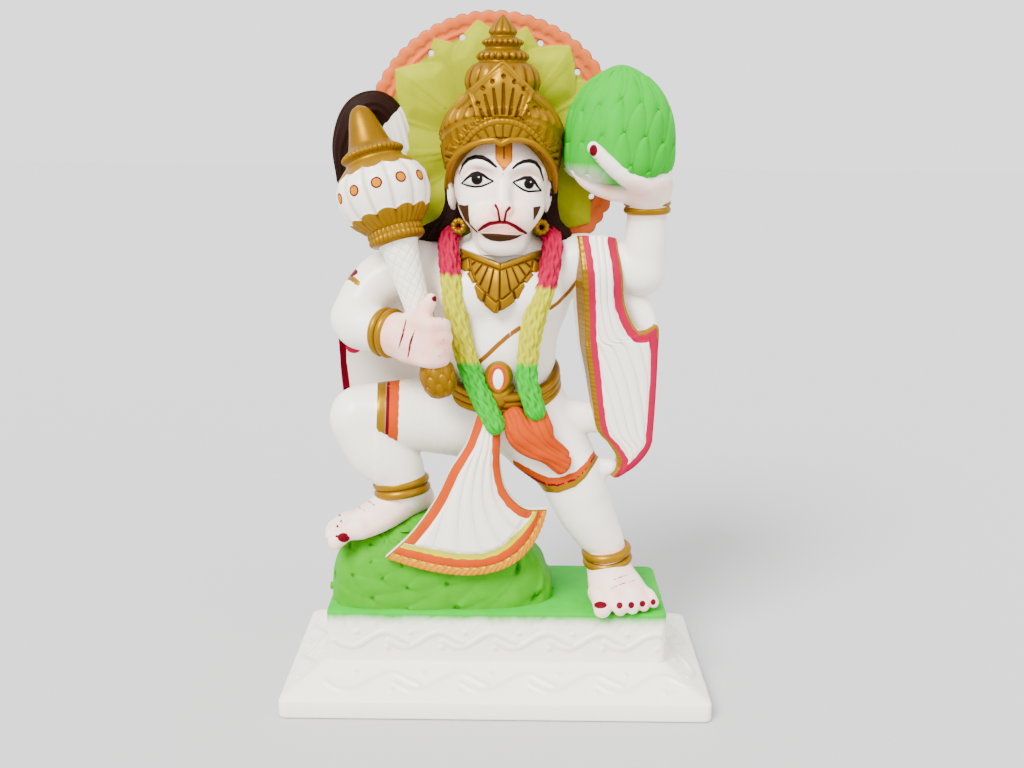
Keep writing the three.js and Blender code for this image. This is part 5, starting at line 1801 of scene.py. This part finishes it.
def jewellery():
    skins = []
    for low, high, radius, thickness, count in (
        ((-55.8, -6.5, 70.2), (-54.3, -7.5, 60.4), 13.6, 2.7, 2),
        ((63, -2.2, 28), (64.6, -1.4, 17), 12.0, 2.6, 2),
        ((-64, -18.5, 157), (-56, -23.5, 156.5), 11.2, 2.4, 2),
        ((79.8, 0, 220.4), (79.6, 0, 228), 10.7, 2.2, 2),
    ):
        low, high = np.array(low, float), np.array(high, float)
        for ring in range(count):
            spot = low + (high - low) * (ring + 0.5) / count
            skins.append(ringed(spot, high - low, radius, thickness, 0))
    for side, x in ((-1, -22.4), (1, 22.2)):
        skins.append(ringed((x, -8.5, 213), (side * 0.35, -1, 0.1), 2.9, 1.5, 9))
    return skins


# Halo
HALO_MIDDLE, HALO_RADIUS = (-4.0, 254.0), 73.0
HALO_FACE, HALO_BACK = 22.0, 30.0
HALO_HOLE_TURNS = (-35, -17, 4, 24, 48, 71, 93, 116)
HALO_BAND = 0.865
PETAL_STEP = 45.0
HALO_HOLE_RADIUS, HALO_HOLE_REACH = 1.7, 0.835
HALO_SCALLOPS, SCALLOP_HEIGHT = 60, 1.6
# About one degree in radians.
DEGREE = 0.0174


def halo_petals(reach, turn):
    """Height of the petals over the disc, by distance from its middle and degrees from its top."""
    share = reach / HALO_RADIUS
    high = np.zeros(np.broadcast(reach, turn).shape)
    for lead, tip, shoulder, spread, tall in ((15.0, 0.915, 0.80, 9.5, 2.6),
                                              (-8.0, 0.935, 0.70, 23.0, 4.4)):
        off = (turn - lead + PETAL_STEP / 2) % PETAL_STEP - PETAL_STEP / 2
        side = np.abs(off) / spread
        margin = np.minimum(tip - (tip - shoulder) * side - share, (1 - side) * spread * DEGREE * share)
        slope = smoothstep(-0.004, 0.012, margin) * (0.45 + 0.55 * smoothstep(0, 0.16, margin))
        crease = 0.12 * ridge(side, 0.25) + 0.10 * smoothstep(0.02, 0.03, off / spread)
        petal = tall * (slope + crease * smoothstep(0, 0.1, margin))
        high = np.maximum(high, petal * smoothstep(0.1, 0.5, share))
    return high


def scallops(turn):
    """How far the rim stands out at so many degrees from the halo's top."""
    return SCALLOP_HEIGHT * np.abs(np.sin(np.radians(turn) * HALO_SCALLOPS / 2)) ** 0.7


def halo():
    block = Block((-78, 15, 180), (70, 32, 329), 0.72)
    x, y, z = block.places()
    dx, dz = x - HALO_MIDDLE[0], z - HALO_MIDDLE[1]
    reach, turn = np.hypot(dx, dz), np.degrees(np.arctan2(dx, dz))
    edge = HALO_RADIUS - 1.7 + scallops(turn)
    petals = halo_petals(reach, turn)
    band = 1.1 * ridge(reach - edge + 3.2, 3.0) + 0.9 * ridge(reach - HALO_BAND * HALO_RADIUS, 1.1)
    face = np.maximum(band, petals)
    distance = np.maximum(np.maximum((HALO_FACE - face - y) * 0.8, y - HALO_BACK), (reach - edge) * 0.9)
    for hole_turn in HALO_HOLE_TURNS:
        off = np.radians(turn - hole_turn)
        away = np.hypot(reach * np.sin(off), reach * np.cos(off) - HALO_HOLE_REACH * HALO_RADIUS)
        hole = HALO_HOLE_RADIUS - away
        distance = np.maximum(distance, hole)
    block.values = distance.astype(np.float32)
    skin = thinned(block.skin(), 56000)
    p = skin.points
    dx, dz = p[:, 0] - HALO_MIDDLE[0], p[:, 2] - HALO_MIDDLE[1]
    reach, turn = np.hypot(dx, dz), np.degrees(np.arctan2(dx, dz))
    high = halo_petals(reach, turn)
    front = p[:, 1] < HALO_BACK - 1
    waver = 0.4 * ripples(p, 6, 61)
    leaf = np.maximum((high - 0.6) * 0.8, HALO_BAND * HALO_RADIUS - 2.5 - reach - waver)
    line = reach - HALO_RADIUS + 2.2 - scallops(turn)
    # Painted shade on the disc between the petals, inside the band.
    hollow = 0.5 * smoothstep(1.5, 0.1, high) * (reach < HALO_BAND * HALO_RADIUS - 2.5)
    return coats(
        skin,
        peach=np.where(front, 1.0, -1.0),
        umber=np.where(p[:, 1] < HALO_FACE + 1.5, line, -1.0),
        lime=np.where(front, leaf, -1.0),
        hollow=np.where(front, hollow, 0),
    )


# The whole figure
# The third value given to a material is the colour of its painted shade in recesses.
piece("Plinth", [plinth()], painted("PlinthMarble", ["green", "umber"], (0.62, 0.60, 0.56)))
piece("Rock", [rock()], painted("RockPaint", ["moss"], (0.10, 0.42, 0.14)))
piece("Mountain", [mountain()], painted("MountainPaint", ["green"], (0.16, 0.42, 0.16)))
piece("Body", [limbs()], painted("BodyMarble", ["orange", "gold", "ochre", "crimson"], hatched=True))
piece("HandsAndFeet", hands_and_feet(), painted("HandMarble", ["blush", "crimson"]))
piece("Mace", [mace()], painted("MacePaint", ["gold", "crimson", "amber"], (0.32, 0.20, 0.08)))
piece("Crown", crown(), painted("CrownGold", ["gold", "orange"], (0.24, 0.13, 0.04)))
piece(
    "Head", [head()],
    painted("FacePaint",
            ["blush", "white", "rose", "brown", "amber", "orange", "crimson", "umber", "black", "cream"]),
)
piece("LoinclothFlap", [flap()],
      painted("FlapPaint", ["yellow", "orange", "amber", "crimson", "gold", "black"]))
piece("Shawl", [shawl_fall(), shawl_back(), shawl_roll()],
      painted("ShawlPaint", ["crimson", "pink", "gold"]))
piece("Sash", sash(), painted("SashPaint", ["orange"], (0.5, 0.16, 0.05)))
piece("Garland", garland(), painted("GarlandPaint", ["yellow", "green", "pink"], (0.5, 0.35, 0.2)))
piece("Tail", [tail()], painted("TailPaint", ["brown"]))
piece("Necklace", necklace(), painted("NecklaceGold", ["gold"], (0.24, 0.13, 0.04)))
piece("BeltAndClasp", belt(), painted("BeltGold", ["gold", "orange", "white"], (0.3, 0.17, 0.05)))
piece("Bangles", jewellery(), painted("BangleGold", ["gold"], (0.4, 0.25, 0.08)))
piece("Halo", [halo()], painted("HaloPaint", ["peach", "umber", "lime"], (0.55, 0.62, 0.3)))


# Studio
def floor():
    mesh = bpy.data.meshes.new("StudioFloor")
    reach = 6000 * MM
    mesh.from_pydata([(-reach, -reach, 0), (reach, -reach, 0), (reach, reach, 0), (-reach, reach, 0)], [],
                     [(0, 1, 2, 3)])
    made = bpy.data.objects.new("StudioFloor", mesh)
    bpy.context.scene.collection.objects.link(made)
    paper = bpy.data.materials.new("StudioPaper")
    paper.use_nodes = True
    shader = paper.node_tree.nodes["Principled BSDF"]
    shader.inputs["Base Color"].default_value = (0.45, 0.45, 0.45, 1)
    shader.inputs["Roughness"].default_value = 0.9
    mesh.materials.append(paper)
    made.location.z = -0.0002


def sun(name, way, strength, spread):
    """Parallel light that travels along way. The spread softens its shadows."""
    data = bpy.data.lights.new(name, "SUN")
    data.energy = strength
    data.angle = math.radians(spread)
    made = bpy.data.objects.new(name, data)
    bpy.context.scene.collection.objects.link(made)
    made.rotation_euler = Vector(way).to_track_quat("-Z", "Y").to_euler()


def studio():
    world = bpy.data.worlds.new("StudioAir")
    world.use_nodes = True
    world.node_tree.nodes["Background"].inputs["Color"].default_value = (1, 1, 1, 1)
    world.node_tree.nodes["Background"].inputs["Strength"].default_value = 1.9
    bpy.context.scene.world = world
    sun("KeyLight", (0.5, 0.72, -0.85), 8.4, 26)
    sun("FillLight", (-0.8, 0.6, -0.5), 1.2, 40)
    floor()


def camera():
    data = bpy.data.cameras.new("PhotoCamera")
    data.lens = CAMERA_LENS
    data.sensor_width = SENSOR_WIDTH
    made = bpy.data.objects.new("PhotoCamera", data)
    bpy.context.scene.collection.objects.link(made)
    columns = [CAMERA_RIGHT, CAMERA_UP, -CAMERA_AHEAD]
    turn = Matrix([[float(c[row]) for c in columns] for row in range(3)])
    made.matrix_world = Matrix.Translation([float(c) * MM for c in CAMERA_PLACE]) @ turn.to_4x4()
    bpy.context.scene.camera = made


studio()
camera()
